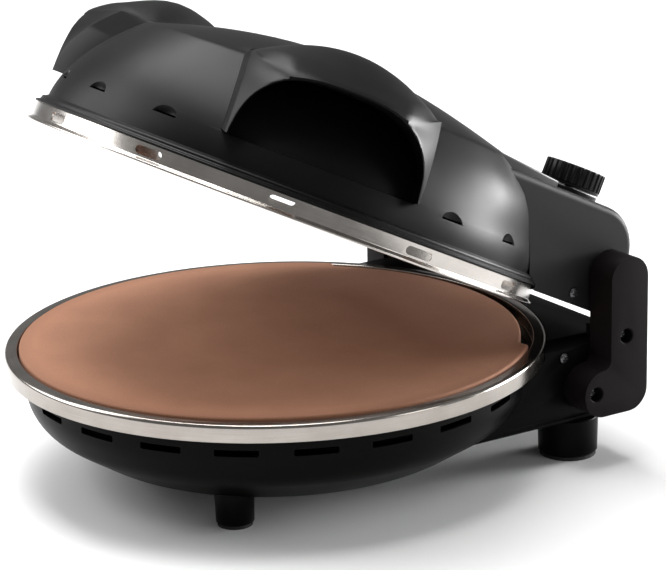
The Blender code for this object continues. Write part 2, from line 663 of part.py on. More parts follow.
def build_arms(base):
    """Two hinge arms with their screws, pins and washers."""
    seat = ARM_OUTER - RECESS_DEPTH
    bore_end = ARM_INNER + PIN_DEPTH
    head_top = LID_HOUSING_HALF - LID_HOUSING_WALL - GAP
    washer = (LID_HOUSING_HALF + GAP, ARM_INNER - GAP)
    for word, side in SIDES:
        low, high = sorted((side * ARM_INNER, side * ARM_OUTER))
        arm = prism_piece(f"hinge_arm_{word}", arm_outline(), low, high, ARM_PLASTIC, base, [ALONG_X])
        spots = [to_side(side, y, RING_TOP + rise) for y, rise in (ARM_UPPER_SCREW, ARM_LOWER_SCREW)]
        recess = [(0.0, ARM_INNER - OVERCUT), (SCREW_SHANK + GAP, ARM_INNER - OVERCUT),
                  (SCREW_SHANK + GAP, seat), (RECESS_RADIUS, seat),
                  (RECESS_RADIUS, ARM_OUTER + OVERCUT), (0.0, ARM_OUTER + OVERCUT)]
        cut(arm, spin_piece(f"arm_recess_tool_{word}", recess, None, base, SCREW_ROUND, spots))
        hinge = [to_side(side, HINGE_Y, HINGE_Z)]
        bore = rod_outline(PIN_RADIUS + RUNNING_GAP, ARM_INNER - OVERCUT, bore_end)
        cut(arm, spin_piece(f"arm_bore_tool_{word}", bore, None, base, SMALL_ROUND, hinge))
        for level, spot in zip(("upper", "lower"), spots):
            bite = seat + GAP - HOUSING_HALF + SCREW_BITE
            spin_piece(f"arm_screw_{level}_{word}", screw_outline(seat + GAP, bite), ZINC, base,
                       SCREW_ROUND, [spot])
        spin_piece(f"hinge_pin_{word}", [
            (0.0, head_top - PIN_HEAD_HEIGHT), (PIN_HEAD, head_top - PIN_HEAD_HEIGHT), (PIN_HEAD, head_top),
            (PIN_RADIUS, head_top), (PIN_RADIUS, bore_end - GAP), (0.0, bore_end - GAP)],
            ZINC, base, SMALL_ROUND, hinge)
        spin_piece(f"hinge_washer_{word}", [
            (PIN_RADIUS + RUNNING_GAP, washer[0]), (WASHER_RADIUS, washer[0]),
            (WASHER_RADIUS, washer[1]), (PIN_RADIUS + RUNNING_GAP, washer[1])],
            ZINC, base, SMALL_ROUND, hinge)
        spin_piece(f"housing_screw_{word}", screw_outline(HOUSING_HALF + GAP, SCREW_BITE), ZINC, base,
                   SCREW_ROUND, [to_side(side, SIDE_SCREW[0], RING_TOP + SIDE_SCREW[1])])


def build_feet(base, envelope):
    """Four feet, each on its own rubber pad."""
    kinds = (("front", FRONT_FOOT, FRONT_FOOT_RADIUS, RING_TOP - HOUSING_DEPTH),
             ("rear", REAR_FOOT, REAR_FOOT_RADIUS, HOUSING_BOTTOM - GAP))
    for end, spot, radius, top in kinds:
        for word, side in SIDES:
            place = [Matrix.Translation((side * spot[0], spot[1], 0.0))]
            foot = spin_piece(f"{end}_foot_{word}", [
                (0.0, PAD_THICKNESS + GAP), (radius - FOOT_TAPER, PAD_THICKNESS + GAP),
                (radius, top), (0.0, top)], BLACK_PLASTIC, base, SMALL_ROUND, place)
            if end == "front":
                cut(foot, envelope)
            spin_piece(f"{end}_pad_{word}", rod_outline(radius - PAD_INSET, 0.0, PAD_THICKNESS), RUBBER,
                       base, SMALL_ROUND, place)


def wall_radius(height):
    """Radius of the dome's outer wall at a height."""
    share = max(0.0, (height - WALL_FOOT) / DOME_WALL_HEIGHT)
    return DOME_FOOT_RADIUS - DOME_DRAW_IN * share ** DOME_POWER


def crown_height(radius):
    """Height of the dome's top at a radius inside the ridge."""
    return CROWN_Z - DOME_CROWN_RISE * (radius / RIDGE_RADIUS) ** DOME_POWER


def arch_height(offset):
    """Height of a hood's mouth at an offset across it."""
    share = min(1.0, abs(offset) / HOOD_HALF)
    opening = (1 - share ** HOOD_ARCH_POWER) ** HOOD_ARCH_ROOT
    return HOOD_SILL + HOOD_ARCH_RISE * max(opening, HOOD_ARCH_LEAST)


def brow_height(offset):
    """Height of a hood's front edge, which droops towards its two ends."""
    return HOOD_BROW - HOOD_DROOP * (offset / (HOOD_HALF + HOOD_CHEEK)) ** HOOD_DROOP_POWER


def roof_height(offset, radius):
    """Height of a hood's roof, a swelling above its brow that runs out into the dome."""
    across = max(0.0, 1 - (offset / (HOOD_HALF + HOOD_CHEEK)) ** 2)
    reach = min(1.0, abs(radius - HOOD_CREST_RADIUS) / HOOD_CREST_REACH)
    roof = brow_height(offset) + HOOD_SWELL * across * (1 + cos(pi * reach)) / 2
    return roof if radius > RIDGE_RADIUS else max(roof, crown_height(radius))


FLANGE_ROWS = [(FLANGE_RADIUS, DOME_BOTTOM), (FLANGE_RADIUS, WALL_FOOT),
               (FLANGE_RADIUS - FLANGE_STEP, WALL_FOOT + 0.2 * FLANGE_RISE),
               (FLANGE_RADIUS - FLANGE_STEP, WALL_FOOT + 0.4 * FLANGE_RISE)]
LOW_ROWS = 3
MOUTH_ROWS = 4
PLAIN_TOP = [(RIDGE_RADIUS * share) for share in (1.0, 0.94, 0.87, 0.81, 0.75, 0.69, 0.62)]
ROOF_TOP = [HOOD_CREST_RADIUS + (HOOD_RADIUS - HOOD_CREST_RADIUS) * share
            for share in (0.88, 0.63, 0.38, 0.12, -0.16, -0.45, -0.69)]
CROWN_ROWS = [RIDGE_RADIUS * share for share in (0.53, 0.36, 0.18)]


def dome_column(offset):
    """Radius and height of a dome column from the flange up; offset is None away from a hood."""
    rows = list(FLANGE_ROWS)
    foot = WALL_FOOT + FLANGE_RISE
    for step in range(LOW_ROWS):
        height = foot + (HOOD_SILL - foot) * step / (LOW_ROWS - 1)
        rows.append((wall_radius(height), height))
    if offset is None:
        for step in range(1, MOUTH_ROWS + 3):
            height = HOOD_SILL + (RIDGE_Z - HOOD_SILL) * step / (MOUTH_ROWS + 3)
            rows.append((wall_radius(height), height))
        rows += [(radius, crown_height(radius)) for radius in PLAIN_TOP]
    else:
        arch = arch_height(offset)
        for step in range(1, MOUTH_ROWS + 1):
            height = HOOD_SILL + (arch - HOOD_SILL) * step / MOUTH_ROWS
            rows.append((wall_radius(height), height))
        rows += [(HOOD_RADIUS, arch), (HOOD_RADIUS, brow_height(offset))]
        rows += [(radius, roof_height(offset, radius)) for radius in ROOF_TOP]
    return rows + [(radius, crown_height(radius)) for radius in CROWN_ROWS]


def dome_inside():
    """Radius and height of the dome's inner face from the flange up."""
    foot = WALL_FOOT + FLANGE_RISE
    rows = [(BAND_RADIUS - DOME_WALL, DOME_BOTTOM), (wall_radius(foot) - DOME_WALL, foot)]
    for share in (0.3, 0.6, 0.85):
        height = foot + (RIDGE_Z - foot) * share
        rows.append((wall_radius(height) - DOME_WALL, height))
    inner = RIDGE_RADIUS - DOME_WALL
    return rows + [(inner * share, crown_height(inner * share) - DOME_WALL) for share in (0.97, 0.72, 0.4)]


def column_angle(zone, value, radius):
    """Angle of a dome column from the front at a radius, so that hood sides stay parallel."""
    reach = max(radius, HOOD_ROOT_RADIUS)
    half = asin((HOOD_HALF + 2 * HOOD_CHEEK) / reach)
    if zone == "hood":
        return HOOD_AZIMUTH + asin(value / reach)
    if zone == "front":
        return value * (HOOD_AZIMUTH - half)
    start = HOOD_AZIMUTH + half
    return start + value * (pi - start)


def dome_columns():
    """Every column round the dome as (side, zone, value), starting at the front."""
    front, back = 6, 12
    half = HOOD_HALF + HOOD_CHEEK
    shares = (-1.0, -0.95, -0.86, -0.7, -0.48, -0.24, 0.0, 0.24, 0.48, 0.7, 0.86, 0.95, 1.0)
    one_side = [("front", step / front) for step in range(1, front + 1)]
    one_side += [("hood", half * share) for share in shares]
    one_side += [("back", step / back) for step in range(back)]
    columns = [(1, "front", 0.0)] + [(1, *column) for column in one_side]
    return columns + [(1, "back", 1.0)] + [(-1, *column) for column in reversed(one_side)]


def build_dome(lid):
    """Lid shell with two finger hoods, built as columns of points round the axis."""
    bm = bmesh.new()
    grid = []
    for side, zone, value in dome_columns():
        rows = dome_column(value if zone == "hood" else None)
        rows = list(reversed(dome_inside())) + rows
        column = []
        for radius, height in rows:
            angle = side * column_angle(zone, value, radius)
            column.append(bm.verts.new((radius * sin(angle), -radius * cos(angle), height)))
        grid.append(column)
    crown = bm.verts.new((0.0, 0.0, CROWN_Z))
    inner = bm.verts.new((0.0, 0.0, CROWN_Z - DOME_WALL))
    for near, far in zip(grid, grid[1:] + grid[:1]):
        for step in range(len(near) - 1):
            bm.faces.new((near[step], far[step], far[step + 1], near[step + 1]))
        bm.faces.new((near[-1], far[-1], crown))
        bm.faces.new((far[0], near[0], inner))
    add_piece("lid_dome", bm, BLACK_PLASTIC, lid)


def build_band(lid):
    """Steel band under the dome, with a hem and a row of slots."""
    inner = BAND_RADIUS - BAND_SHEET
    band = spin_piece("lid_band", [
        (inner, BAND_TOP), (BAND_RADIUS, BAND_TOP), (BAND_RADIUS, LIP_BOTTOM + 2 * LIP_HEIGHT),
        (LIP_RADIUS, LIP_BOTTOM + LIP_HEIGHT), (LIP_RADIUS, LIP_BOTTOM), (inner, LIP_BOTTOM)], STEEL, lid)
    half, rise = SLOT_LENGTH / 2, SLOT_HEIGHT / 2
    height = LIP_BOTTOM + SLOT_RISE
    corner = rise * 0.9
    slot = rounded([(-half, height - rise, corner), (half, height - rise, corner),
                    (half, height + rise, corner), (-half, height + rise, corner)], COARSE_ARC_STEP)
    turns = range(-SLOTS_EACH_SIDE, SLOTS_EACH_SIDE + 1)
    places = [about(pi / 2 + turn * SLOT_PITCH) @ ALONG_Y for turn in turns]
    cut(band, prism_piece("slot_tool", slot, -BAND_RADIUS - OVERCUT, -BAND_RADIUS + 2 * OVERCUT,
                          None, lid, places))


def build_upper_heat(lid):
    """Reflector inside the dome, with the upper element under it."""
    sheet = REFLECTOR_SHEET
    outer = BAND_RADIUS - BAND_SHEET - GAP
    wall = outer - REFLECTOR_LAP
    inner = wall - REFLECTOR_SLOPE
    reflector = spin_piece("upper_reflector", [
        (outer, BAND_TOP), (wall, BAND_TOP), (inner, REFLECTOR_TOP), (0.0, REFLECTOR_TOP),
        (0.0, REFLECTOR_TOP - sheet), (inner - sheet / 2, REFLECTOR_TOP - sheet),
        (wall - sheet, BAND_TOP - sheet), (outer, BAND_TOP - sheet)], ALUMINIUM, lid, SHEET_ROUND)
    level = REFLECTOR_TOP - sheet - ELEMENT_LIFT
    end = build_element("upper_element", level, 1, lid)
    cut(reflector, element_holes("upper_hole_tool", end, lid))
    build_clips("upper_clip", level, REFLECTOR_TOP - sheet - GAP, 1, lid)


def dome_envelope(lid):
    """Tool in the shape of the lid's outside with a gap all round."""
    outer = FLANGE_RADIUS + SHELL_GAP
    step = WALL_FOOT + FLANGE_RISE
    outline = [(0.0, RING_TOP), (LIP_RADIUS + SHELL_GAP, RING_TOP),
               (LIP_RADIUS + SHELL_GAP, DOME_BOTTOM), (outer, DOME_BOTTOM), (outer, step)]
    rows = 9
    for row in range(rows):
        height = step + (RIDGE_Z - step) * row / (rows - 1)
        outline.append((wall_radius(height) + 2 * SHELL_GAP, height))
    return spin_piece("dome_envelope_tool", outline + [(0.0, RIDGE_Z)], None, lid)


def lid_housing_outline(offset):
    """Corners of the lid housing's side view, drawn in by an offset."""
    front = LID_HOUSING_FRONT + offset
    rear = LID_HOUSING_REAR - offset
    bottom, top = LID_HOUSING_BOTTOM + offset, LID_HOUSING_TOP - offset
    return rounded([(front, bottom), (rear, bottom, LID_HOUSING_LOW_ROUND - offset / 2),
                    (rear, top, LID_HOUSING_TOP_ROUND - offset), (front, top)])


def build_lid_housing(lid):
    """Box behind the dome that turns on the hinge pins, with the control panel on top."""
    half, wall = LID_HOUSING_HALF, LID_HOUSING_WALL
    envelope = dome_envelope(lid)
    housing = prism_piece("lid_hinge_housing", lid_housing_outline(0.0), -half, half, BLACK_PLASTIC, lid,
                          [ALONG_X])
    hollow = prism_piece("lid_hollow_tool", lid_housing_outline(wall), wall - half, half - wall, None, lid,
                         [ALONG_X])
    places = [to_side(side, HINGE_Y, HINGE_Z) for _, side in SIDES]
    bores = spin_piece("lid_bore_tool", rod_outline(PIN_RADIUS + RUNNING_GAP, half - 2 * wall, half + OVERCUT),
                       None, lid, SMALL_ROUND, places)
    spots = [to_side(side, LID_SCREW[0], RING_TOP + LID_SCREW[1]) for _, side in SIDES]
    holes = spin_piece("lid_screw_tool", rod_outline(SCREW_SHANK + GAP, half - 2 * wall, half + OVERCUT),
                       None, lid, SCREW_ROUND, spots)
    place = [Matrix.Translation((*KNOB_PLACE, 0.0))]
    shaft_hole = spin_piece("shaft_hole_tool", rod_outline(SHAFT_RADIUS + 2 * GAP, LID_HOUSING_TOP - 2 * wall,
                                                           COLLAR_TOP), None, lid, SMALL_ROUND, place)
    for tool in (hollow, envelope, bores, holes, shaft_hole):
        cut(housing, tool)
    panel_half = half - PANEL_INSET
    panel = prism_piece("control_panel", rounded([
        (panel_half, LID_HOUSING_FRONT), (panel_half, PANEL_REAR, PANEL_ROUND),
        (-panel_half, PANEL_REAR, PANEL_ROUND), (-panel_half, LID_HOUSING_FRONT)]),
        LID_HOUSING_TOP + GAP, PANEL_TOP, BLACK_PLASTIC, lid)
    for tool in (envelope, shaft_hole):
        cut(panel, tool)
    for (word, _), spot in zip(SIDES, spots):
        spin_piece(f"lid_screw_{word}", screw_outline(half + GAP, SCREW_BITE), ZINC, lid, SCREW_ROUND, [spot])
    spin_piece("knob_collar", [
        (SHAFT_RADIUS + 2 * GAP, PANEL_TOP + GAP), (COLLAR_RADIUS, PANEL_TOP + GAP),
        (COLLAR_RADIUS, COLLAR_TOP), (SHAFT_RADIUS + 2 * GAP, COLLAR_TOP)],
        BLACK_PLASTIC, lid, SMALL_ROUND, place)


def build_control(lid, knob):
    """Thermostat under the panel, with the shaft and ribbed knob that turn on it."""
    top = LID_HOUSING_TOP - LID_HOUSING_WALL - GAP
    body = prism_piece("thermostat_body", box_outline(THERMOSTAT_SIZE[0], THERMOSTAT_SIZE[1], KNOB_PLACE),
                       top - THERMOSTAT_SIZE[2], top, CERAMIC, lid)
    place = [Matrix.Translation((*KNOB_PLACE, 0.0))]
    socket = spin_piece("socket_tool", rod_outline(SHAFT_RADIUS + GAP, top - SHAFT_GRIP - GAP, top + OVERCUT),
                        None, lid, SMALL_ROUND, place)
    cut(body, socket)
    roof = KNOB_TOP - KNOB_ROOF
    spin_piece("thermostat_shaft", rod_outline(SHAFT_RADIUS, top - SHAFT_GRIP, roof - GAP), ZINC, knob,
               SMALL_ROUND, place)
    rim = []
    for step in range(2 * KNOB_RIBS):
        radius = KNOB_RADIUS - KNOB_RIB * (step % 2)
        rim.append((KNOB_PLACE[0] + radius * cos(pi * step / KNOB_RIBS),
                    KNOB_PLACE[1] + radius * sin(pi * step / KNOB_RIBS)))
    dial = prism_piece("thermostat_knob", rim, KNOB_BOTTOM, KNOB_TOP, BLACK_PLASTIC, knob)
    cut(dial, spin_piece("knob_bore_tool", rod_outline(SHAFT_RADIUS + GAP, KNOB_BOTTOM - OVERCUT, roof), None,
                         knob, SMALL_ROUND, place))


def middle_y():
    """Middle of the oven's length with its lid open, where the frame's origin goes."""
    swing = [HINGE_Y + (y - HINGE_Y) * cos(LID_OPEN) + (z - HINGE_Z) * sin(LID_OPEN)
             for y, z in lid_housing_outline(0.0)]
    gland_end = HOUSING_REAR + GLAND_FLANGE_THICKNESS + GLAND_NOSE
    return (max(max(swing), ARM_REAR, gland_end) - RING_RADIUS) / 2


def main():
    """Build the base, the lid and the knob, and open the lid to the photo's angle."""
    clear_scene()
    base = add_carrier("oven", (0.0, 0.0, 0.0))
    base.empty.location = (0.0, -middle_y(), 0.0)
    lid = add_carrier("lid_hinge", (0.0, HINGE_Y, HINGE_Z), base)
    lid.empty.rotation_euler.x = -LID_OPEN
    knob = add_carrier("knob_axis", (*KNOB_PLACE, KNOB_BOTTOM), lid)

    build_dish(base)
    build_ring(base)
    build_stone(base)
    build_lower_heat(base)
    envelope = base_envelope(base)
    build_housing(base, envelope)
    build_arms(base)
    build_feet(base, envelope)
    build_dome(lid)
    build_band(lid)
    build_upper_heat(lid)
    build_lid_housing(lid)
    build_control(lid, knob)


main()
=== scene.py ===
"""Countertop pizza oven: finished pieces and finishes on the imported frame, with stage, light and camera."""

import logging
from contextlib import contextmanager
from dataclasses import dataclass, field
from enum import Enum
from math import asin, atan2, ceil, cos, pi, radians, sin
from typing import Any, Callable, Iterable, Iterator, Sequence

import bpy
from mathutils import Matrix, Vector


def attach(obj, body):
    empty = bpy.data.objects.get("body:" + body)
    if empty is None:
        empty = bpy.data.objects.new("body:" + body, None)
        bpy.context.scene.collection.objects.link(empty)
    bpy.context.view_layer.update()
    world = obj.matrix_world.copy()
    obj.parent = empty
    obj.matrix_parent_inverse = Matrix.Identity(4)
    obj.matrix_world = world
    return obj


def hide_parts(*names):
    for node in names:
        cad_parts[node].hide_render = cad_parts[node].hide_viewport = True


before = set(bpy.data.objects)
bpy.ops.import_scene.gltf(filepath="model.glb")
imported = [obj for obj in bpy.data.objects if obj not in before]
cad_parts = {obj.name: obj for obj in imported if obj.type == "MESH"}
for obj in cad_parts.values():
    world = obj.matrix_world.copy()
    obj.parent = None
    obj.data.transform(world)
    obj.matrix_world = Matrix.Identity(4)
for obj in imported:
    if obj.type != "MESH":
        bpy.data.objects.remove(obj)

LOG = logging.getLogger("oven")
Point = tuple[float, float]
Colour = tuple[float, float, float]
Piece = bpy.types.Object


class Body(Enum):
    """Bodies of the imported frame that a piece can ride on."""

    BASE = "base"
    LID = "lid"
    KNOB = "knob"


class Slot(Enum):
    """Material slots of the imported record."""

    BLACK_PLASTIC = "black_plastic"
    ARM_PLASTIC = "arm_plastic"
    PANEL_PLASTIC = "panel_plastic"
    STEEL = "steel"
    STONE = "stone"
    ALUMINIUM = "aluminium"
    ELEMENT = "element"
    ZINC = "zinc"
    RUBBER = "rubber"
    CERAMIC = "ceramic"


class Side(Enum):
    """The two sides of the oven, as the sign of x."""

    RIGHT = 1
    LEFT = -1

    @property
    def word(self) -> str:
        """The side as it is written in a piece's name."""
        return self.name.lower()


class Level(Enum):
    """The two heating sets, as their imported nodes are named."""

    LOWER = "lower"
    UPPER = "upper"


class Zone(Enum):
    """Stretches of the dome's columns, from the front to the back of one side."""

    FRONT = "front"
    HOOD = "hood"
    BACK = "back"


@dataclass(frozen=True)
class Datum:
    """Levels and places that several sub-assemblies share, in metres from the ring's middle."""

    middle_y: float = 0.0124602
    ring_top: float = 0.085
    hinge_y: float = 0.1785
    hinge_z: float = 0.114
    band_radius: float = 0.1685
    knob_place: Point = (0.0935, 0.1405)
    lid_open: float = radians(26)

    def base(self) -> Matrix:
        """Matrix from the ring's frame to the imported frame."""
        return Matrix.Translation((0.0, -self.middle_y, 0.0))

    def lid(self) -> Matrix:
        """Matrix from the shut lid in the ring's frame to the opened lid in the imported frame.

        Returns:
            The matrix.
        """
        hinge = Vector((0.0, self.hinge_y, self.hinge_z))
        turn = Matrix.Rotation(-self.lid_open, 4, "X")
        return self.base() @ Matrix.Translation(hinge) @ turn @ Matrix.Translation(-hinge)


DATUM = Datum()


class Signal:
    """A value socket that can be used in Python sums."""

    def __init__(self, shop: "PaintShop", socket: bpy.types.NodeSocket) -> None:
        """Keep the shop that owns the node tree, and the socket."""
        self.shop = shop
        self.socket = socket

    def _maths(self, operation: str, first: Any, second: Any) -> "Signal":
        """Add one Math node.

        Args:
            operation: name of the Math node's operation.
            first: its first value or signal.
            second: its second value or signal.

        Returns:
            The node's result.
        """
        return self.shop.node("ShaderNodeMath", {"operation": operation}, {0: first, 1: second})

    def __add__(self, other: Any) -> "Signal":
        """Sum."""
        return self._maths("ADD", self, other)

    __radd__ = __add__

    def __sub__(self, other: Any) -> "Signal":
        """Difference."""
        return self._maths("SUBTRACT", self, other)

    def __rsub__(self, other: Any) -> "Signal":
        """Difference with the signal second."""
        return self._maths("SUBTRACT", other, self)

    def __mul__(self, other: Any) -> "Signal":
        """Product."""
        return self._maths("MULTIPLY", self, other)

    __rmul__ = __mul__

    def __pow__(self, other: Any) -> "Signal":
        """Power."""
        return self._maths("POWER", self, other)

    def spread(self, low: float, high: float, start: float = 0.0, end: float = 1.0) -> "Signal":
        """Clamped change of range.

        Args:
            low: signal that gives start.
            high: signal that gives end.
            start: result at low.
            end: result at high.

        Returns:
            The signal in its new range.
        """
        return self.shop.node("ShaderNodeMapRange", {"clamp": True},
                              {"Value": self, "From Min": low, "From Max": high, "To Min": start, "To Max": end})


class PaintShop:
    """Node tree of one material, with one method that adds any node."""

    def __init__(self, name: str) -> None:
        """Start an empty material with a Principled shader.

        Args:
            name: the material's name.
        """
        self.material = bpy.data.materials.new(name)
        self.material.use_nodes = True
        self.tree = self.material.node_tree
        self.tree.nodes.clear()
        self.shader = self.tree.nodes.new("ShaderNodeBsdfPrincipled")
        output = self.tree.nodes.new("ShaderNodeOutputMaterial")
        self.tree.links.new(self.shader.outputs["BSDF"], output.inputs["Surface"])

    def node(self, kind: str, settings: dict[str, Any], inputs: dict[Any, Any], output: Any = 0) -> Signal:
        """Add a node.

        Args:
            kind: the node's type.
            settings: its properties, which are set first.
            inputs: values or signals by socket name or number.
            output: name or number of the wanted output.

        Returns:
            The wanted output as a signal.
        """
        node = self.tree.nodes.new(kind)
        for key, value in settings.items():
            setattr(node, key, value)
        for key, value in inputs.items():
            self.feed(node.inputs[key], value)
        return Signal(self, node.outputs[output])

    def feed(self, socket: bpy.types.NodeSocket, value: Any) -> None:
        """Link a signal to a socket, or set the socket's value.

        Args:
            socket: the socket to feed.
            value: a signal, a number or a colour.
        """
        if isinstance(value, Signal):
            self.tree.links.new(value.socket, socket)
        elif socket.type == "RGBA" and len(value) == 3:
            socket.default_value = (*value, 1.0)
        else:
            socket.default_value = value

    def set(self, **values: Any) -> None:
        """Set or link the shader's own sockets, named with underscores for spaces."""
        for key, value in values.items():
            self.feed(self.shader.inputs[key.replace("_", " ")], value)

    def place(self, turned: bool = False) -> Signal:
        """Object coordinates of a piece.

        Args:
            turned: whether to turn them back to the shut lid's frame.

        Returns:
            The coordinates, centred on the ring's middle.
        """
        where = self.node("ShaderNodeTexCoord", {}, {}, "Object")
        back = (DATUM.lid() if turned else DATUM.base()).inverted()
        return self.node("ShaderNodeMapping", {}, {
            "Vector": where, "Location": back.to_translation(), "Rotation": back.to_euler()})

    def noise(self, where: Signal, scale: float, detail: float = 3.0, rough: float = 0.55) -> Signal:
        """Noise of a given scale per metre, from nought to one."""
        return self.node("ShaderNodeTexNoise", {}, {
            "Vector": where, "Scale": scale, "Detail": detail, "Roughness": rough})

    def stretched(self, where: Signal, scale: Colour) -> Signal:
        """Coordinates scaled by a different factor on each axis."""
        return self.node("ShaderNodeVectorMath", {"operation": "MULTIPLY"}, {0: where, 1: scale})

    def blend(self, share: Any, low: Any, high: Any) -> Signal:
        """Mix of two colours by a share."""
        return self.node("ShaderNodeMix", {"data_type": "RGBA"}, {0: share, 6: low, 7: high}, 2)

    def axes(self, where: Signal) -> list[Signal]:
        """The three coordinates, each as a signal of its own."""
        return [self.node("ShaderNodeSeparateXYZ", {}, {0: where}, axis) for axis in range(3)]

    def cells(self, where: Signal, scale: float) -> Signal:
        """Distance to the nearest of scattered points."""
        return self.node("ShaderNodeTexVoronoi", {"feature": "F1"}, {"Vector": where, "Scale": scale}, "Distance")

    def round_lines(self, where: Signal, along: float, across: float) -> Signal:
        """Noise drawn out into fine lines that run round the upright axis.

        Args:
            where: coordinates centred on the axis.
            along: scale round the axis.
            across: scale in height and radius.

        Returns:
            The noise.
        """
        x, y, z = self.axes(where)
        angle = self.node("ShaderNodeMath", {"operation": "ARCTAN2"}, {0: y, 1: x})
        radius = (x * x + y * y) ** 0.5
        lines = self.node("ShaderNodeCombineXYZ", {}, {0: angle * along, 1: z * across, 2: radius * across})
        return self.noise(lines, 1.0, 4.0, 0.6)

    def bump(self, height: Signal, strength: float, distance: float) -> Signal:
        """Normal bumped by a height."""
        return self.node("ShaderNodeBump", {}, {"Height": height, "Strength": strength, "Distance": distance})


# Parts of a noise's range that a finish stretches to its full change
WIDE, MIDDLE, NARROW = (0.3, 0.7), (0.32, 0.68), (0.35, 0.65)


@dataclass(frozen=True)
class MouldedPlastic:
    """Heat-proof moulded plastic with a fine spark-etched grain and faint cloudy sheen."""

    name: str
    colour: Colour = (0.0034, 0.0031, 0.0031)
    pale: Colour = (0.0056, 0.0052, 0.0053)
    rough: float = 0.40
    rough_spread: float = 0.05
    gloss: float = 0.125
    grain: float = 1500.0
    grain_depth: float = 0.00010
    grain_strength: float = 0.16
    turned: bool = False
    cloud_scale: float = 16.0
    speck_scale: float = 420.0
    smear_scale: Colour = (30.0, 30.0, 9.0)

    def material(self) -> bpy.types.Material:
        """Build the material.

        Returns:
            The material.
        """
        shop = PaintShop(self.name)
        where = shop.place(self.turned)
        cloud = shop.noise(where, self.cloud_scale, 3.0)
        speck = shop.noise(where, self.speck_scale, 2.0)
        fine = shop.noise(where, self.grain, 2.0, 0.7)
        smear = shop.noise(shop.stretched(where, self.smear_scale), 1.0, 4.0)
        shade = shop.blend((cloud * 0.6 + speck * 0.4).spread(*WIDE), self.colour, self.pale)
        rough = (cloud * 0.5 + smear * 0.3 + fine * 0.2).spread(
            *NARROW, self.rough - self.rough_spread, self.rough + self.rough_spread)
        shop.set(Base_Color=shade, Roughness=rough, Specular_IOR_Level=self.gloss,
                 Normal=shop.bump(fine + speck * 0.5, self.grain_strength, self.grain_depth))
        return shop.material


@dataclass(frozen=True)
class RolledSteel:
    """Bright stainless sheet, with faint lines of rolling round the ring and a few finger smears."""

    name: str
    # These default colours, which the ring uses, are painted darker than bare steel as painted shade, for the shadowed
    # floor that the ring reflects.
    colour: Colour = (0.41, 0.380, 0.352)
    worn: Colour = (0.31, 0.283, 0.258)
    rough: float = 0.15
    turned: bool = False
    line_scales: Point = (5.0, 2600.0)
    smear_scale: float = 34.0
    spot_scale: float = 300.0
    line_depth: float = 0.00006

    def material(self) -> bpy.types.Material:
        """Build the material.

        Returns:
            The material.
        """
        shop = PaintShop(self.name)
        where = shop.place(self.turned)
        lines = shop.round_lines(where, *self.line_scales)
        smear = shop.noise(where, self.smear_scale, 5.0, 0.6)
        spots = shop.noise(where, self.spot_scale, 3.0)
        shade = shop.blend((lines * 0.5 + smear * 0.5).spread(*NARROW), self.worn, self.colour)
        rough = (lines * 0.35 + smear * 0.45 + spots * 0.2).spread(*WIDE, self.rough - 0.04, self.rough + 0.10)
        shop.set(Base_Color=shade, Roughness=rough, Metallic=1.0,
                 Normal=shop.bump(lines, 0.05, self.line_depth))
        return shop.material


@dataclass(frozen=True)
class FiredStone:
    """Fired clay plate with pores, grit, a faint kiln cloud and a rim that is darker towards the edge."""

    name: str
    clay: Colour = (0.290, 0.122, 0.064)
    pale: Colour = (0.380, 0.182, 0.104)
    dark: Colour = (0.150, 0.058, 0.028)
    rough: Point = (0.74, 0.92)
    cloud_scale: float = 22.0
    grit_scale: float = 900.0
    pore_scale: float = 620.0
    fleck_scale: float = 240.0
    rim_radii: Point = (0.158, 0.170)
    rim_waver: float = 0.006
    grit_depth: float = 0.00035
    grit_strength: float = 0.35

    def material(self) -> bpy.types.Material:
        """Build the material.

        Returns:
            The material.
        """
        shop = PaintShop(self.name)
        where = shop.place()
        cloud = shop.noise(where, self.cloud_scale, 4.0)
        grit = shop.noise(where, self.grit_scale, 3.0, 0.7)
        hole = shop.cells(where, self.pore_scale).spread(0.10, 0.24, 1.0, 0.0)
        fleck = shop.cells(where, self.fleck_scale).spread(0.06, 0.16, 1.0, 0.0)
        body = shop.blend((cloud * 0.55 + grit * 0.45).spread(*MIDDLE), self.clay, self.pale)
        body = shop.blend(fleck * 0.35, body, self.pale)
        body = shop.blend(hole * 0.45, body, self.dark)
        x, y, _ = shop.axes(where)
        # Darker towards the stone's edge, between the rim radii.
        rim = ((x * x + y * y) ** 0.5 + cloud * self.rim_waver).spread(*self.rim_radii)
        shop.set(Base_Color=shop.blend(rim * 0.45, body, self.dark),
                 Roughness=(grit * 0.5 + cloud * 0.5).spread(*WIDE, *self.rough),
                 Normal=shop.bump(grit * 0.6 - hole * 0.8, self.grit_strength, self.grit_depth))
        return shop.material


@dataclass(frozen=True)
class PlainMetal:
    """Pressed or plated metal with fine lines, cloudy tarnish and specks."""

    name: str
    colour: Colour
    dull: Colour
    rough: float = 0.35
    cloud_scale: float = 60.0
    fine_scale: float = 1400.0
    line_scales: Point = (6.0, 1500.0)
    line_depth: float = 0.00008

    def material(self) -> bpy.types.Material:
        """Build the material.

        Returns:
            The material.
        """
        shop = PaintShop(self.name)
        where = shop.place()
        cloud = shop.noise(where, self.cloud_scale, 4.0)
        fine = shop.noise(where, self.fine_scale, 2.0)
        lines = shop.round_lines(where, *self.line_scales)
        shade = shop.blend((cloud * 0.6 + lines * 0.4).spread(*MIDDLE), self.dull, self.colour)
        rough = (cloud * 0.5 + fine * 0.5).spread(*WIDE, self.rough - 0.08, self.rough + 0.12)
        shop.set(Base_Color=shade, Roughness=rough, Metallic=1.0,
                 Normal=shop.bump(fine + lines, 0.12, self.line_depth))
        return shop.material


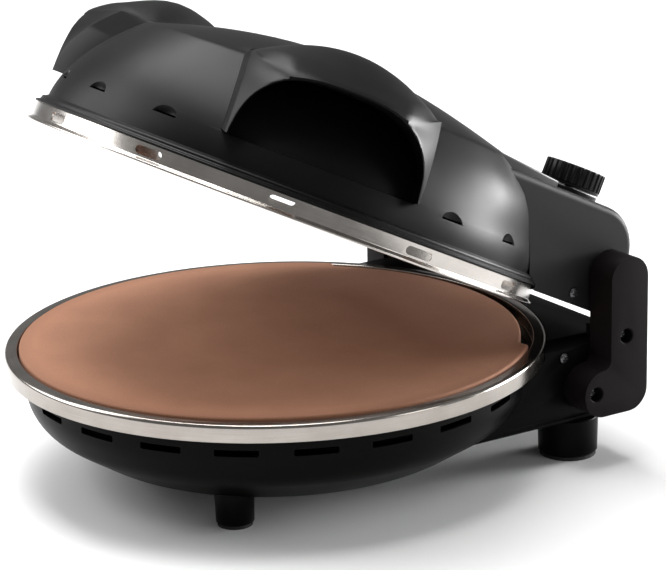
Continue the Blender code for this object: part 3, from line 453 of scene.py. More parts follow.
@dataclass(frozen=True)
class MattePaste:
    """Rubber, unglazed ceramic or printed ink: a matte body with fine grain and mottle."""

    name: str
    colour: Colour
    pale: Colour
    rough: float = 0.85
    grain: float = 1100.0
    grain_depth: float = 0.0001
    mottle_scale: float = 130.0

    def material(self) -> bpy.types.Material:
        """Build the material.

        Returns:
            The material.
        """
        shop = PaintShop(self.name)
        where = shop.place()
        mottle = shop.noise(where, self.mottle_scale, 4.0)
        fine = shop.noise(where, self.grain, 2.0)
        shade = shop.blend((mottle * 0.7 + fine * 0.3).spread(*WIDE), self.colour, self.pale)
        shop.set(Base_Color=shade, Roughness=mottle.spread(*WIDE, self.rough - 0.08, self.rough + 0.06),
                 Normal=shop.bump(fine, 0.2, self.grain_depth))
        return shop.material


class Finishes:
    """All finishes of the oven, each built once."""

    def __init__(self) -> None:
        """Build every material."""
        self.lid_black = MouldedPlastic("lid black plastic", turned=True).material()
        self.lid_housing_black = MouldedPlastic("lid housing plastic", gloss=0.22, rough=0.55, turned=True).material()
        # The base's plastic is painted darker than the lid's as painted shade, for the shade that the base sits in.
        self.shaded_base_black = MouldedPlastic("base black plastic", (0.0014, 0.0013, 0.0012), (0.0026, 0.0024, 0.0023),
                                         0.36, gloss=0.045).material()
        self.arm_grey = MouldedPlastic("arm dark plastic", (0.0056, 0.0043, 0.0042), (0.0080, 0.0064, 0.0063),
                                       0.52, gloss=0.06, grain=1300.0, grain_strength=0.22).material()
        self.panel_black = MouldedPlastic("panel satin plastic", (0.006, 0.006, 0.006), (0.012, 0.012, 0.012),
                                          0.36, gloss=0.50, grain_strength=0.14, turned=True).material()
        self.knob_black = MouldedPlastic("knob plastic", (0.0026, 0.0024, 0.0023), (0.0042, 0.0040, 0.0039),
                                         0.30, gloss=0.14, grain_strength=0.08, turned=True).material()
        # The ring's steel is painted darker than the band's as painted shade, for the shadowed floor that the ring
        # reflects.
        self.shaded_ring_steel = RolledSteel("ring steel with painted shade").material()
        self.band_steel = RolledSteel("band steel", (0.62, 0.585, 0.55), (0.47, 0.44, 0.41), 0.17,
                                      turned=True).material()
        self.stone = FiredStone("fired stone").material()
        self.aluminium = PlainMetal("pressed aluminium", (0.62, 0.62, 0.62), (0.46, 0.46, 0.46), 0.36).material()
        self.element = PlainMetal("oxidised tube", (0.085, 0.078, 0.075), (0.045, 0.040, 0.040), 0.5).material()
        self.zinc = PlainMetal("dark zinc", (0.16, 0.16, 0.165), (0.075, 0.075, 0.08), 0.34).material()
        self.rubber = MattePaste("foot rubber", (0.012, 0.012, 0.012), (0.022, 0.022, 0.022)).material()
        self.ceramic = MattePaste("white ceramic", (0.60, 0.57, 0.52), (0.70, 0.67, 0.61), 0.6).material()
        self.ink = MattePaste("printed ink", (0.62, 0.62, 0.62), (0.74, 0.74, 0.74), 0.5).material()


class Bench:
    """Modelling moves made with Blender's own operators."""

    SMOOTH = radians(38)
    WELD = 0.000002
    TWIN_WELD = 0.00001
    TWIN_FLAT = radians(1.0)
    OVERSHOOT = 0.002
    BLUNT = radians(40)
    CLEAR = radians(50)
    SHARP = radians(60)

    @staticmethod
    def clear() -> None:
        """Deselect everything."""
        bpy.ops.object.select_all(action="DESELECT")

    @staticmethod
    def focus(piece: Piece) -> None:
        """Select one piece alone and make it active.

        Args:
            piece: the piece.
        """
        Bench.clear()
        piece.select_set(True)
        bpy.context.view_layer.objects.active = piece

    @staticmethod
    def take(name: str, points: Sequence[Sequence[float]] | None = None) -> Piece:
        """Name the primitive that was just added, and put its corners in place.

        Args:
            name: the piece's name.
            points: a place for each of its corners, in their order.

        Returns:
            The piece.
        """
        piece = bpy.context.active_object
        piece.name = piece.data.name = name
        if points is not None:
            piece.data.vertices.foreach_set("co", [value for point in points for value in point])
            piece.data.update()
        return piece

    @staticmethod
    @contextmanager
    def editing(piece: Piece) -> Iterator[None]:
        """Edit a piece with all of it selected, then go back to whole pieces.

        Args:
            piece: the piece.

        Yields:
            Nothing, while the piece is open.
        """
        Bench.focus(piece)
        bpy.ops.object.mode_set(mode="EDIT")
        bpy.ops.mesh.select_all(action="SELECT")
        yield
        bpy.ops.object.mode_set(mode="OBJECT")

    @staticmethod
    def mend(piece: Piece) -> None:
        """Merge doubles, drop empty faces and turn every face outwards.

        Args:
            piece: the piece.
        """
        with Bench.editing(piece):
            bpy.ops.mesh.remove_doubles(threshold=Bench.WELD)
            bpy.ops.mesh.dissolve_degenerate(threshold=Bench.WELD)
            bpy.ops.mesh.select_all(action="SELECT")
            bpy.ops.mesh.normals_make_consistent(inside=False)

    @staticmethod
    def lathe(name: str, profile: Sequence[Point], steps: int) -> Piece:
        """Spin a closed profile about the upright axis.

        Args:
            name: the piece's name.
            profile: radius and height of its corners, in order.
            steps: number of steps in a turn.

        Returns:
            The spun piece.
        """
        Bench.clear()
        bpy.ops.mesh.primitive_circle_add(vertices=len(profile), fill_type="NOTHING")
        piece = Bench.take(name, [(radius, 0.0, height) for radius, height in profile])
        with Bench.editing(piece):
            bpy.ops.mesh.spin(steps=steps, angle=2 * pi, center=(0, 0, 0), axis=(0, 0, 1))
        Bench.mend(piece)
        return piece

    @staticmethod
    def prism(name: str, outline: Sequence[Point], low: float, high: float) -> Piece:
        """Extrude a flat outline upwards.

        Args:
            name: the piece's name.
            outline: x and y of its corners, in order.
            low: height of the outline.
            high: height of the top.

        Returns:
            The extruded piece.
        """
        Bench.clear()
        bpy.ops.mesh.primitive_circle_add(vertices=len(outline), fill_type="NGON")
        piece = Bench.take(name, [(x, y, low) for x, y in outline])
        with Bench.editing(piece):
            bpy.ops.mesh.extrude_region_move(TRANSFORM_OT_translate={"value": (0.0, 0.0, high - low)})
        Bench.mend(piece)
        return piece

    @staticmethod
    def modify(piece: Piece, kind: str, **settings: Any) -> None:
        """Add a modifier with its settings and apply it.

        Args:
            piece: the piece to change.
            kind: the modifier's type.
            settings: its settings by name.
        """
        Bench.focus(piece)
        modifier = piece.modifiers.new(kind.lower(), kind)
        for key, value in settings.items():
            setattr(modifier, key, value)
        bpy.ops.object.modifier_apply(modifier=modifier.name)

    @staticmethod
    def bevel(piece: Piece, width: float, angle: float, segments: int = 3) -> None:
        """Round every edge that turns by more than an angle."""
        Bench.modify(piece, "BEVEL", width=width, segments=segments, limit_method="ANGLE", angle_limit=angle,
                     use_clamp_overlap=True)

    @staticmethod
    def round_edges(piece: Piece, chosen: Callable[[Vector, Vector], bool], width: float, segments: int) -> None:
        """Round the edges whose two ends pass a test.

        Args:
            piece: the piece to change.
            chosen: test of an edge's two ends.
            width: width of the rounding.
            segments: steps across it.
        """
        Bench.focus(piece)
        bpy.ops.object.mode_set(mode="EDIT")
        bpy.ops.mesh.select_mode(type="EDGE")
        bpy.ops.mesh.select_all(action="DESELECT")
        bpy.ops.object.mode_set(mode="OBJECT")
        corners = piece.data.vertices
        for edge in piece.data.edges:
            edge.select = chosen(corners[edge.vertices[0]].co, corners[edge.vertices[1]].co)
        bpy.ops.object.mode_set(mode="EDIT")
        bpy.ops.mesh.bevel(offset=width, segments=segments, profile=0.5, clamp_overlap=False)
        bpy.ops.mesh.select_mode(type="VERT")
        bpy.ops.object.mode_set(mode="OBJECT")

    @staticmethod
    def cut(piece: Piece, tool: Piece) -> None:
        """Take a tool's volume out of a piece, and remove the tool."""
        Bench.modify(piece, "BOOLEAN", object=tool, operation="DIFFERENCE", solver="EXACT")
        bpy.data.objects.remove(tool)

    @staticmethod
    def copies(piece: Piece, places: Iterable[Matrix]) -> Piece:
        """Join copies of a piece at several places into one piece, and remove the first.

        Args:
            piece: the piece to copy.
            places: a matrix for each copy.

        Returns:
            The joined piece.
        """
        made = []
        for place in places:
            copy = piece.copy()
            copy.data = piece.data.copy()
            copy.data.transform(place)
            bpy.context.scene.collection.objects.link(copy)
            made.append(copy)
        name = piece.name
        bpy.data.objects.remove(piece)
        made[0].name = name
        Bench.focus(made[0])
        for copy in made:
            copy.select_set(True)
        bpy.ops.object.join()
        return made[0]

    @staticmethod
    def twin(node: str, name: str) -> Piece:
        """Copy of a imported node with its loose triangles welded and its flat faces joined.

        Args:
            node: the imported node's name.
            name: the copy's name.

        Returns:
            The copy.
        """
        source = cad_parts[node]
        piece = bpy.data.objects.new(name, source.data.copy())
        bpy.context.scene.collection.objects.link(piece)
        with Bench.editing(piece):
            bpy.ops.mesh.remove_doubles(threshold=Bench.TWIN_WELD)
            bpy.ops.mesh.dissolve_limited(angle_limit=Bench.TWIN_FLAT)
        return piece

    @staticmethod
    def finish(piece: Piece, place: Matrix, body: Body, slot: Slot, material: bpy.types.Material,
               *nodes: str, smooth: float = SMOOTH) -> None:
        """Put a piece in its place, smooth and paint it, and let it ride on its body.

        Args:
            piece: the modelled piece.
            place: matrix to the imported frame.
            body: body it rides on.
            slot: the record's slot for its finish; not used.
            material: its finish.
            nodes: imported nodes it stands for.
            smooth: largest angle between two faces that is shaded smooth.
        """
        piece.data.transform(place)
        piece.data.update()
        Bench.focus(piece)
        bpy.ops.object.shade_smooth_by_angle(angle=smooth)
        piece.data.materials.clear()
        piece.data.materials.append(material)
        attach(piece, body.value)
        if nodes:
            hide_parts(*nodes)
        LOG.info("%s: %d faces on %s", piece.name, len(piece.data.polygons), body.value)

    @staticmethod
    def dress(material: bpy.types.Material, *nodes: str) -> None:
        """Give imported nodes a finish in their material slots.

        Args:
            material: the finish.
            nodes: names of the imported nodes.
        """
        for name in nodes:
            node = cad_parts[name]
            if not node.material_slots:
                node.data.materials.append(material)
            for slot in node.material_slots:
                slot.material = material
            LOG.info("%s: dressed with %s", name, material.name)


class Outline:
    """Outlines drawn from corners with radii."""

    STEP = radians(9)
    FINE = radians(6)
    PLAIN = radians(15)
    COARSE = radians(20)

    @staticmethod
    def rounded(corners: Sequence[Sequence[float]], step: float = STEP) -> list[Point]:
        """Replace corners that carry a radius by arcs.

        Args:
            corners: each corner as two places and an optional radius.
            step: largest angle between two points of an arc.

        Returns:
            The outline's points.
        """
        points: list[Point] = []
        count = len(corners)
        for number, corner in enumerate(corners):
            here = Vector(corner[:2])
            if len(corner) < 3 or corner[2] <= 0:
                points.append((here.x, here.y))
                continue
            before = (Vector(corners[number - 1][:2]) - here).normalized()
            after = (Vector(corners[(number + 1) % count][:2]) - here).normalized()
            half = before.angle(after) / 2
            reach = corner[2] / sin(half) if half else 0.0
            run = reach * cos(half)
            middle = here + (before + after).normalized() * reach
            first, last = here + before * run - middle, here + after * run - middle
            turn = first.angle_signed(last)
            cuts = max(2, ceil(abs(turn) / step))
            start = atan2(first.y, first.x)
            for cut in range(cuts + 1):
                angle = start - turn * cut / cuts
                points.append((middle.x + corner[2] * cos(angle), middle.y + corner[2] * sin(angle)))
        return points

    @staticmethod
    def slot(length: float, height: float, middle: Point, share: float = 0.98) -> list[Point]:
        """Long hole with round ends about a middle point.

        Args:
            length: its whole length.
            height: its whole height.
            middle: its middle.
            share: how round the ends are, up to one.

        Returns:
            The hole's outline.
        """
        half, rise, (x, y) = length / 2, height / 2, middle
        round_end = rise * share
        return Outline.rounded([(x - half, y - rise, round_end), (x + half, y - rise, round_end),
                                (x + half, y + rise, round_end), (x - half, y + rise, round_end)], Outline.PLAIN)

    @staticmethod
    def oblong(half: float, low: float, high: float) -> list[Point]:
        """Oblong about the first axis, between two places on the second."""
        return [(-half, low), (half, low), (half, high), (-half, high)]

    @staticmethod
    def disc(radius: float, low: float, high: float) -> list[Point]:
        """Profile of a plain round tool between two heights."""
        return [(0.0, low), (radius, low), (radius, high), (0.0, high)]


ALONG_X = Matrix(((0, 0, 1, 0), (1, 0, 0, 0), (0, 1, 0, 0), (0, 0, 0, 1)))
ALONG_Y = Matrix(((1, 0, 0, 0), (0, 0, 1, 0), (0, 1, 0, 0), (0, 0, 0, 1)))


def turned(angle: float) -> Matrix:
    """Turn about the upright axis."""
    return Matrix.Rotation(angle, 4, "Z")


def sideways(side: Side, place: Point, depth: float = 0.0) -> Matrix:
    """Matrix that lays an upright piece along x at a place on one side.

    Args:
        side: side of the oven.
        place: y and z of the place.
        depth: how far out along x the piece's foot goes.

    Returns:
        The matrix.
    """
    turn = Matrix.Rotation(side.value * pi / 2, 4, "Y")
    return Matrix.Translation((side.value * depth, *place)) @ turn


def clamped(share: float) -> float:
    """A share held between nought and one."""
    return min(1.0, max(0.0, share))


@dataclass
class HeatSet:
    """Reflector, heating tube and clips of the base or the lid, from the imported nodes."""

    finishes: Finishes
    level: Level
    body: Body

    def build(self) -> None:
        """Smooth the reflector and the tube, and dress the clips."""
        heat, level = self.finishes, self.level.value
        for part, word, slot, material in (("reflector", "reflector", Slot.ALUMINIUM, heat.aluminium),
                                           ("element", "heat_tube", Slot.ELEMENT, heat.element)):
            twin = Bench.twin(f"{level}_{part}", f"{self.body.value}_{word}")
            Bench.finish(twin, Matrix.Identity(4), self.body, slot, material, f"{level}_{part}")
        Bench.dress(heat.zinc, *(f"{level}_clip_{number}" for number in (1, 2, 3)))


@dataclass
class BakingBase:
    """Steel ring, stone, vented dish and feet."""

    finishes: Finishes
    ring_radius: float = 0.175
    ring_depth: float = 0.011
    ring_bead: float = 0.0024
    ring_sheet: float = 0.001
    flange_inner: float = 0.1668
    ledge_radius: float = 0.158
    ledge_top: float = 0.0762
    stone_radius: float = 0.1656
    stone_bottom: float = 0.0765
    stone_top: float = 0.0865
    stone_edge: float = 0.0016
    notch_radius: float = 0.1588
    notch_angle: float = radians(45)
    dish_radius: float = 0.163
    dish_taper: float = 0.0006
    dish_rim: float = 0.0738
    dish_shoulder: float = 0.0450
    dish_floor: float = 0.0165
    dish_flat: float = 0.118
    dish_wall: float = 0.0025
    dish_seat: float = 0.1555
    vent_width: float = 0.027
    vent_height: float = 0.0042
    vent_level: float = 0.063
    vent_pitch: float = radians(16.85)
    vents_each_side: int = 7
    hem_round: float = 0.0004
    flange_round: float = 0.0009
    ledge_round: float = 0.0006
    shoulder_round: float = 0.030
    floor_round: float = 0.045
    seat_drop: float = 0.0023
    foot_edge: float = 0.0012
    stone_steps: int = 240
    steps: int = 160

    def build(self) -> None:
        """Build and dress every piece."""
        self.build_ring()
        self.build_stone()
        self.build_dish()
        self.build_feet()
        HeatSet(self.finishes, Level.LOWER, Body.BASE).build()

    def build_ring(self) -> None:
        """Steel ring with a rolled outer edge and an inner ledge."""
        outer, inner, ledge = self.ring_radius, self.flange_inner, self.ledge_top
        top, sheet = DATUM.ring_top, self.ring_sheet
        profile = Outline.rounded([
            (outer - sheet, top - self.ring_depth), (outer, top - self.ring_depth, self.hem_round),
            (outer, top, self.ring_bead), (inner, top, self.flange_round), (inner, ledge, self.ledge_round),
            (self.ledge_radius, ledge), (self.ledge_radius, ledge - sheet), (inner + sheet, ledge - sheet),
            (inner + sheet, top - sheet), (outer - sheet, top - sheet, self.ring_bead - sheet)], Outline.PLAIN)
        ring = Bench.lathe("steel_ring", profile, self.steps)
        Bench.finish(ring, DATUM.base(), Body.BASE, Slot.STEEL, self.finishes.shaded_ring_steel, "base_ring")

    def build_stone(self) -> None:
        """Round stone with softened edges, cut back along the rear."""
        Bench.clear()
        depth = self.stone_top - self.stone_bottom
        bpy.ops.mesh.primitive_cylinder_add(vertices=self.stone_steps, radius=self.stone_radius, depth=depth,
                                            location=(0.0, 0.0, self.stone_bottom + depth / 2))
        bpy.ops.object.transform_apply(location=True)
        stone = Bench.take("stone_plate")
        for vertex in stone.data.vertices:
            if abs(atan2(vertex.co.x, vertex.co.y)) < self.notch_angle:
                vertex.co.xy *= self.notch_radius / self.stone_radius
        Bench.bevel(stone, self.stone_edge, Bench.CLEAR, 4)
        Bench.finish(stone, DATUM.base(), Body.BASE, Slot.STONE, self.finishes.stone, "baking_stone")

    def build_dish(self) -> None:
        """Bowl under the ring with its row of vents."""
        wall, rim, floor, drop = self.dish_wall, self.dish_rim, self.dish_floor, self.seat_drop
        shoulder = self.dish_radius - self.dish_taper
        profile = Outline.rounded([
            (self.dish_radius, rim), (shoulder, self.dish_shoulder, self.shoulder_round),
            (self.dish_flat, floor, self.floor_round), (0.0, floor),
            (0.0, floor + wall), (self.dish_flat - wall, floor + wall, self.floor_round - wall),
            (shoulder - wall, self.dish_shoulder + wall / 2, self.shoulder_round - wall),
            (self.dish_radius - wall, rim - 2 * drop), (self.dish_seat, rim - drop), (self.dish_seat, rim)],
            Outline.FINE)
        dish = Bench.lathe("vented_dish", profile, self.steps)
        slot = Outline.slot(self.vent_width, self.vent_height, (0.0, self.vent_level), 0.5)
        tool = Bench.prism("vent_tool", slot, -self.dish_radius - Bench.OVERSHOOT, -self.dish_radius + 4 * wall)
        turns = range(-self.vents_each_side, self.vents_each_side + 1)
        vents = Bench.copies(tool, [turned(turn * self.vent_pitch) @ ALONG_Y for turn in turns])
        Bench.mend(vents)
        Bench.cut(dish, vents)
        Bench.finish(dish, DATUM.base(), Body.BASE, Slot.BLACK_PLASTIC, self.finishes.shaded_base_black, "base_dish")

    def build_feet(self) -> None:
        """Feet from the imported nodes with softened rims; the pads stay as they are."""
        for end in ("front", "rear"):
            for side in Side:
                node = f"{end}_foot_{side.word}"
                foot = Bench.twin(node, f"{end}_foot_post_{side.word}")
                Bench.bevel(foot, self.foot_edge, Bench.CLEAR)
                Bench.finish(foot, Matrix.Identity(4), Body.BASE, Slot.BLACK_PLASTIC, self.finishes.shaded_base_black, node)
                Bench.dress(self.finishes.rubber, f"{end}_pad_{side.word}")


@dataclass
class Screw:
    """Pan-head screw with a cross recess."""

    finishes: Finishes
    head: float = 0.0034
    height: float = 0.0018
    slot_length: float = 0.0042
    slot_width: float = 0.0009
    slot_depth: float = 0.0011
    side_share: float = 0.45
    side_round: float = 0.0006
    flat_share: float = 0.62
    flat_round: float = 0.0014
    lift: float = 0.0003
    steps: int = 32

    def build(self, node: str, side: Side, place: Point, depth: float, turn: float, body: Body) -> None:
        """Model a head upright, lay it on its seat and let it stand for a packed screw.

        Args:
            node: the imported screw's name.
            side: side of the oven.
            place: y and z of its middle.
            depth: how far out along x its seat is.
            turn: how far the screw is turned, in degrees.
            body: body it rides on.
        """
        head = Bench.lathe(f"{node}_head", Outline.rounded([
            (0.0, 0.0), (self.head, 0.0), (self.head, self.height * self.side_share, self.side_round),
            (self.head * self.flat_share, self.height, self.flat_round), (0.0, self.height)], Outline.COARSE),
            self.steps)
        for quarter in (0.0, pi / 2):
            wide = self.slot_width / 2
            tool = Bench.prism("cross_tool", Outline.oblong(self.slot_length / 2, -wide, wide),
                               self.height - self.slot_depth, self.height + Bench.OVERSHOOT / 2)
            tool.data.transform(turned(quarter))
            Bench.cut(head, tool)
        head.data.transform(sideways(side, place, depth + self.lift) @ turned(radians(turn)))
        move = DATUM.lid() if body is Body.LID else DATUM.base()
        Bench.finish(head, move, body, Slot.ZINC, self.finishes.zinc, node)


@dataclass
class HingeBase:
    """Rear housing, hinge arms and their screws."""

    finishes: Finishes
    arm_inner: float = 0.1203
    arm_outer: float = 0.1425
    arm_rear: float = 0.193
    arm_front: float = 0.1637
    arm_toe_front: float = 0.143
    arm_corner: float = 0.0145
    arm_toe: float = 0.0155
    arm_bottom: float = 0.0363
    arm_top: float = 0.1393
    arm_edge: float = 0.0022
    recess_radius: float = 0.0048
    recess_depth: float = 0.007
    recess_flare: Point = (0.0007, 0.0006)
    recess_steps: int = 40
    inner_corner: float = 0.006
    nearly: float = 0.995
    housing_half: float = 0.120
    housing_edge: float = 0.0011
    arm_screws: tuple[Point, Point] = ((0.1762, 0.0873), (0.1525, 0.0524))
    side_screw: Point = (0.1427, 0.073)
    screw_turn: float = 25.0

    def build(self) -> None:
        """Build and dress every piece."""
        self.build_housing()
        for side in Side:
            self.build_arm(side)
            self.build_screws(side)
        for side in Side:
            Bench.dress(self.finishes.zinc, f"hinge_pin_{side.word}", f"hinge_washer_{side.word}")
        Bench.dress(self.finishes.shaded_base_black, "housing_cover")
        Bench.dress(self.finishes.ceramic, "terminal_block")
        Bench.dress(self.finishes.rubber, "cord_gland")

    def build_housing(self) -> None:
        """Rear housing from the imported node, with rounded edges."""
        housing = Bench.twin("base_hinge_housing", "rear_housing")
        Bench.bevel(housing, self.housing_edge, Bench.BLUNT)
        Bench.finish(housing, Matrix.Identity(4), Body.BASE, Slot.BLACK_PLASTIC, self.finishes.shaded_base_black,
                     "base_hinge_housing")

    def build_arm(self, side: Side) -> None:
        """Hinge arm of one side, with rounded edges and two screw recesses.

        Args:
            side: side of the oven.
        """
        bottom, top, knee = self.arm_bottom, self.arm_top, self.arm_bottom + 2 * self.arm_toe
        corner, toe = self.arm_corner * self.nearly, self.arm_toe * self.nearly
        outline = Outline.rounded([
            (self.arm_rear, bottom, self.arm_corner), (self.arm_rear, top, corner), (self.arm_front, top, corner),
            (self.arm_front, knee, self.inner_corner), (self.arm_toe_front, knee, toe),
            (self.arm_toe_front, bottom, toe)])
        low, high = sorted((side.value * self.arm_inner, side.value * self.arm_outer))
        arm = Bench.prism(f"hinge_arm_post_{side.word}", outline, low, high)
        arm.data.transform(ALONG_X)
        Bench.bevel(arm, self.arm_edge, Bench.SHARP, 4)
        face, narrow, (flare, drop) = self.arm_outer, self.recess_radius, self.recess_flare
        for place in self.arm_screws:
            hole = Bench.lathe("recess_tool", [
                (0.0, face - self.recess_depth), (narrow, face - self.recess_depth), (narrow, face - drop),
                (narrow + flare, face + 0.0001), (narrow + flare, face + Bench.OVERSHOOT),
                (0.0, face + Bench.OVERSHOOT)], self.recess_steps)
            hole.data.transform(sideways(side, place))
            Bench.cut(arm, hole)
        Bench.finish(arm, DATUM.base(), Body.BASE, Slot.ARM_PLASTIC, self.finishes.arm_grey, f"hinge_arm_{side.word}")

    def build_screws(self, side: Side) -> None:
        """Arm and housing screws of one side.

        Args:
            side: side of the oven.
        """
        seat = self.arm_outer - self.recess_depth
        for word, place, depth in (("arm_screw_upper", self.arm_screws[0], seat),
                                   ("arm_screw_lower", self.arm_screws[1], seat),
                                   ("housing_screw", self.side_screw, self.housing_half)):
            Screw(self.finishes).build(f"{word}_{side.word}", side, place, depth, self.screw_turn, Body.BASE)


@dataclass
class LidDome:
    """Moulded lid shell with two finger hoods and small louvres, modelled shut."""

    finishes: Finishes
    flange_radius: float = 0.1699
    flange_edge: Point = (0.0003, 0.0004)
    flange_groove: tuple[Point, ...] = ((0.0004, 0.0), (0.0022, 0.0006), (0.0028, 0.0012), (0.0030, 0.0024),
                                        (0.0036, 0.0032), (0.0052, 0.0038))
    bottom: float = 0.0982
    foot: float = 0.0996
    foot_radius: float = 0.1635
    draw_in: float = 0.0415
    wall_height: float = 0.0685
    crown: float = 0.1916
    crown_rise: float = 0.0235
    power: float = 1.9
    wall: float = 0.003
    rear_swell: float = 0.0075
    swell_start: Point = (84.0, 30.0)
    swell_end: Point = (152.0, 26.0)
    swell_level: Point = (0.120, 0.036)
    hood_azimuth: float = radians(61.5)
    hood_half: float = 0.0585
    hood_cheek: float = 0.0018
    lip_radius: float = 0.1712
    edge_radius: float = 0.1695
    edge_lean: float = 0.030
    sill: float = 0.119
    arch_rise: float = 0.0465
    arch_power: float = 3.0
    arch_root: float = 0.4545
    arch_flat: float = 2.2
    arch_least: float = 0.02
    brow: float = 0.1702
    corner: float = 0.1705
    crease_start: float = 0.034
    crease_blend: float = 0.003
    crease_gap: float = 0.0007
    crease_power: float = 1.2
    facet_blend: float = 0.008
    facet_power: float = 0.9
    lean_power: float = 2.2
    swell: float = 0.020
    nose: float = 0.020
    crest_radius: float = 0.121
    crest_reach: float = 0.056
    root_radius: float = 0.115
    roof_steep: float = 0.6
    roof_power: float = 1.35
    roof_shares: Point = (0.994, 0.59)
    cap_shares: tuple[float, ...] = (0.54, 0.45, 0.36, 0.27, 0.18, 0.09, 0.0)
    pocket: float = 0.0105
    inner_foot: float = 0.0044
    inner_cap: tuple[float, ...] = (0.0, 0.4, 0.72, 0.97)
    inner_wall: tuple[float, ...] = (0.85, 0.6, 0.3, 0.0)
    outer_foot: float = 0.0046
    ridge_drops: tuple[float, float, float] = (0.0030, 0.0018, 0.0008)
    mouth_height: float = 0.0024
    mouth_step: float = 0.0002
    mouth_lift: float = 0.0006
    mouth_rows: int = 14
    wall_rows: int = 6
    soffit_rows: int = 5
    facet_rows: int = 14
    roof_rows: int = 20
    front_columns: int = 10
    hood_columns: int = 24
    back_columns: int = 28
    louvre_azimuths: tuple[float, ...] = (3.0, 25.0, -19.0, 94.0, -94.0, 115.5, -115.5)
    louvre_level: float = 0.1172
    louvre_lean: float = radians(-8)
    scoop: tuple[float, float, float] = (0.0112, 0.0078, 0.0088)
    scoop_depth: float = 0.0034
    scoop_steps: tuple[int, int] = (48, 28)
    slit_length: float = 0.0150
    slit_height: float = 0.0016
    slit_reach: Point = (-0.004, 0.010)
    smooth: float = radians(24)
    ridge_radius: float = field(init=False)
    ridge: float = field(init=False)
    hood_edge: float = field(init=False)

    def __post_init__(self) -> None:
        """Work out the ridge and the hood's outer edge."""
        self.ridge_radius = self.foot_radius - self.draw_in
        self.ridge = self.foot + self.wall_height
        self.hood_edge = self.hood_half + self.hood_cheek

    def wall_radius(self, height: float) -> float:
        """Radius of the outer wall at a height."""
        share = max(0.0, (height - self.foot) / self.wall_height)
        return self.foot_radius - self.draw_in * share ** self.power

    def crown_height(self, radius: float) -> float:
        """Height of the top at a radius inside the ridge."""
        return self.crown - self.crown_rise * (radius / self.ridge_radius) ** self.power

    def arch_height(self, offset: float) -> float:
        """Height of a hood's mouth at an offset across it."""
        share = min(1.0, abs(offset) / self.hood_half)
        return self.sill + self.arch_rise * max((1 - share ** self.arch_power) ** self.arch_root, self.arch_least)

    def arch_offset(self, height: float) -> float:
        """Offset at which the mouth's arch has a height, no nearer the middle than the crease's start.

        Args:
            height: height over the table.

        Returns:
            The offset.
        """
        share = clamped((height - self.sill) / self.arch_rise)
        arch = self.hood_half * (1 - share ** self.arch_flat) ** (1 / self.arch_power)
        return (arch + self.crease_start + ((arch - self.crease_start) ** 2 + self.facet_blend ** 2) ** 0.5) / 2

    def crease_height(self, offset: float) -> float:
        """Height of the crease between a hood's facet and its roof.

        Args:
            offset: place across the hood, from its middle.

        Returns:
            The height.
        """
        share = max(0.0, (abs(offset) - self.crease_start) / (self.hood_edge - self.crease_start))
        low = self.arch_height(self.crease_start)
        arch = self.arch_height(offset) + self.crease_gap
        line = low + (self.corner - low) * share ** self.crease_power
        return (arch + line + ((arch - line) ** 2 + self.crease_blend ** 2) ** 0.5) / 2

    def facet_radius(self, offset: float, height: float) -> float:
        """Radius of a hood's slanting front facet at an offset and height.

        Args:
            offset: place across the hood, from its middle.
            height: height over the table.

        Returns:
            The radius.
        """
        share = max(0.0, (height - self.sill) / (self.corner - self.sill))
        edge = self.edge_radius - self.edge_lean * share ** self.lean_power
        room = max(0.0001, self.hood_edge - self.arch_offset(height))
        inwards = clamped((self.hood_edge - abs(offset)) / room)
        return edge + (self.lip_radius - edge) * inwards ** self.facet_power

    def roof_height(self, offset: float, radius: float) -> float:
        """Height of a hood's roof at an offset and radius.

        Args:
            offset: place across the hood, from its middle.
            radius: distance from the dome's axis.

        Returns:
            The height.
        """
        crease = self.crease_height(offset)
        front = self.facet_radius(offset, crease)
        across = max(0.0, 1 - (offset / self.hood_edge) ** 2)
        reach = min(1.0, abs(radius - self.crest_radius) / self.crest_reach)
        top = self.brow + self.swell * across * (1 + cos(pi * reach)) / 2
        share = clamped((front - radius) / self.nose)
        steep = self.roof_steep + self.roof_steep * (offset / self.hood_edge) ** 4
        roof = crease + (top - crease) * (1 - (1 - share) ** 2) ** steep
        return roof if radius > self.ridge_radius else max(roof, self.crown_height(radius))

    def swollen(self, angle: float, radius: float, height: float) -> float:
        """Radius with the rear shoulders of the shell swelled out beside the housing.

        Args:
            angle: bearing from the front.
            radius: distance from the dome's axis.
            height: height over the table.

        Returns:
            The new radius.
        """
        turn = abs(angle) * 180 / pi
        (start, opening), (end, closing), (level, climb) = self.swell_start, self.swell_end, self.swell_level
        across = self.ease((turn - start) / opening) * self.ease((end - turn) / closing)
        if radius < self.ridge_radius:
            rise = (radius / self.ridge_radius) ** 4
        else:
            rise = self.ease((height - level) / climb)
        return radius + self.rear_swell * across * rise

    @staticmethod
    def ease(share: float) -> float:
        """Smooth step from nought to one."""
        share = clamped(share)
        return share * share * (3 - 2 * share)

    @staticmethod
    def spaced(first: Point, last: Point, count: int) -> list[Point]:
        """Points from a first one up to, but not with, a last one."""
        return [(first[0] + (last[0] - first[0]) * step / count, first[1] + (last[1] - first[1]) * step / count)
                for step in range(count)]

    def inside(self) -> list[Point]:
        """Inner face from the pole down to the flange.

        Returns:
            Radius and height of its points.
        """
        inner = self.ridge_radius - self.wall
        rows = [(inner * share, self.crown_height(inner * share) - self.wall) for share in self.inner_cap]
        for share in self.inner_wall:
            height = self.foot + self.inner_foot + (self.ridge - self.foot - self.inner_foot) * share
            rows.append((self.wall_radius(height) - self.wall, height))
        return rows + [(DATUM.band_radius - self.wall, self.bottom)]

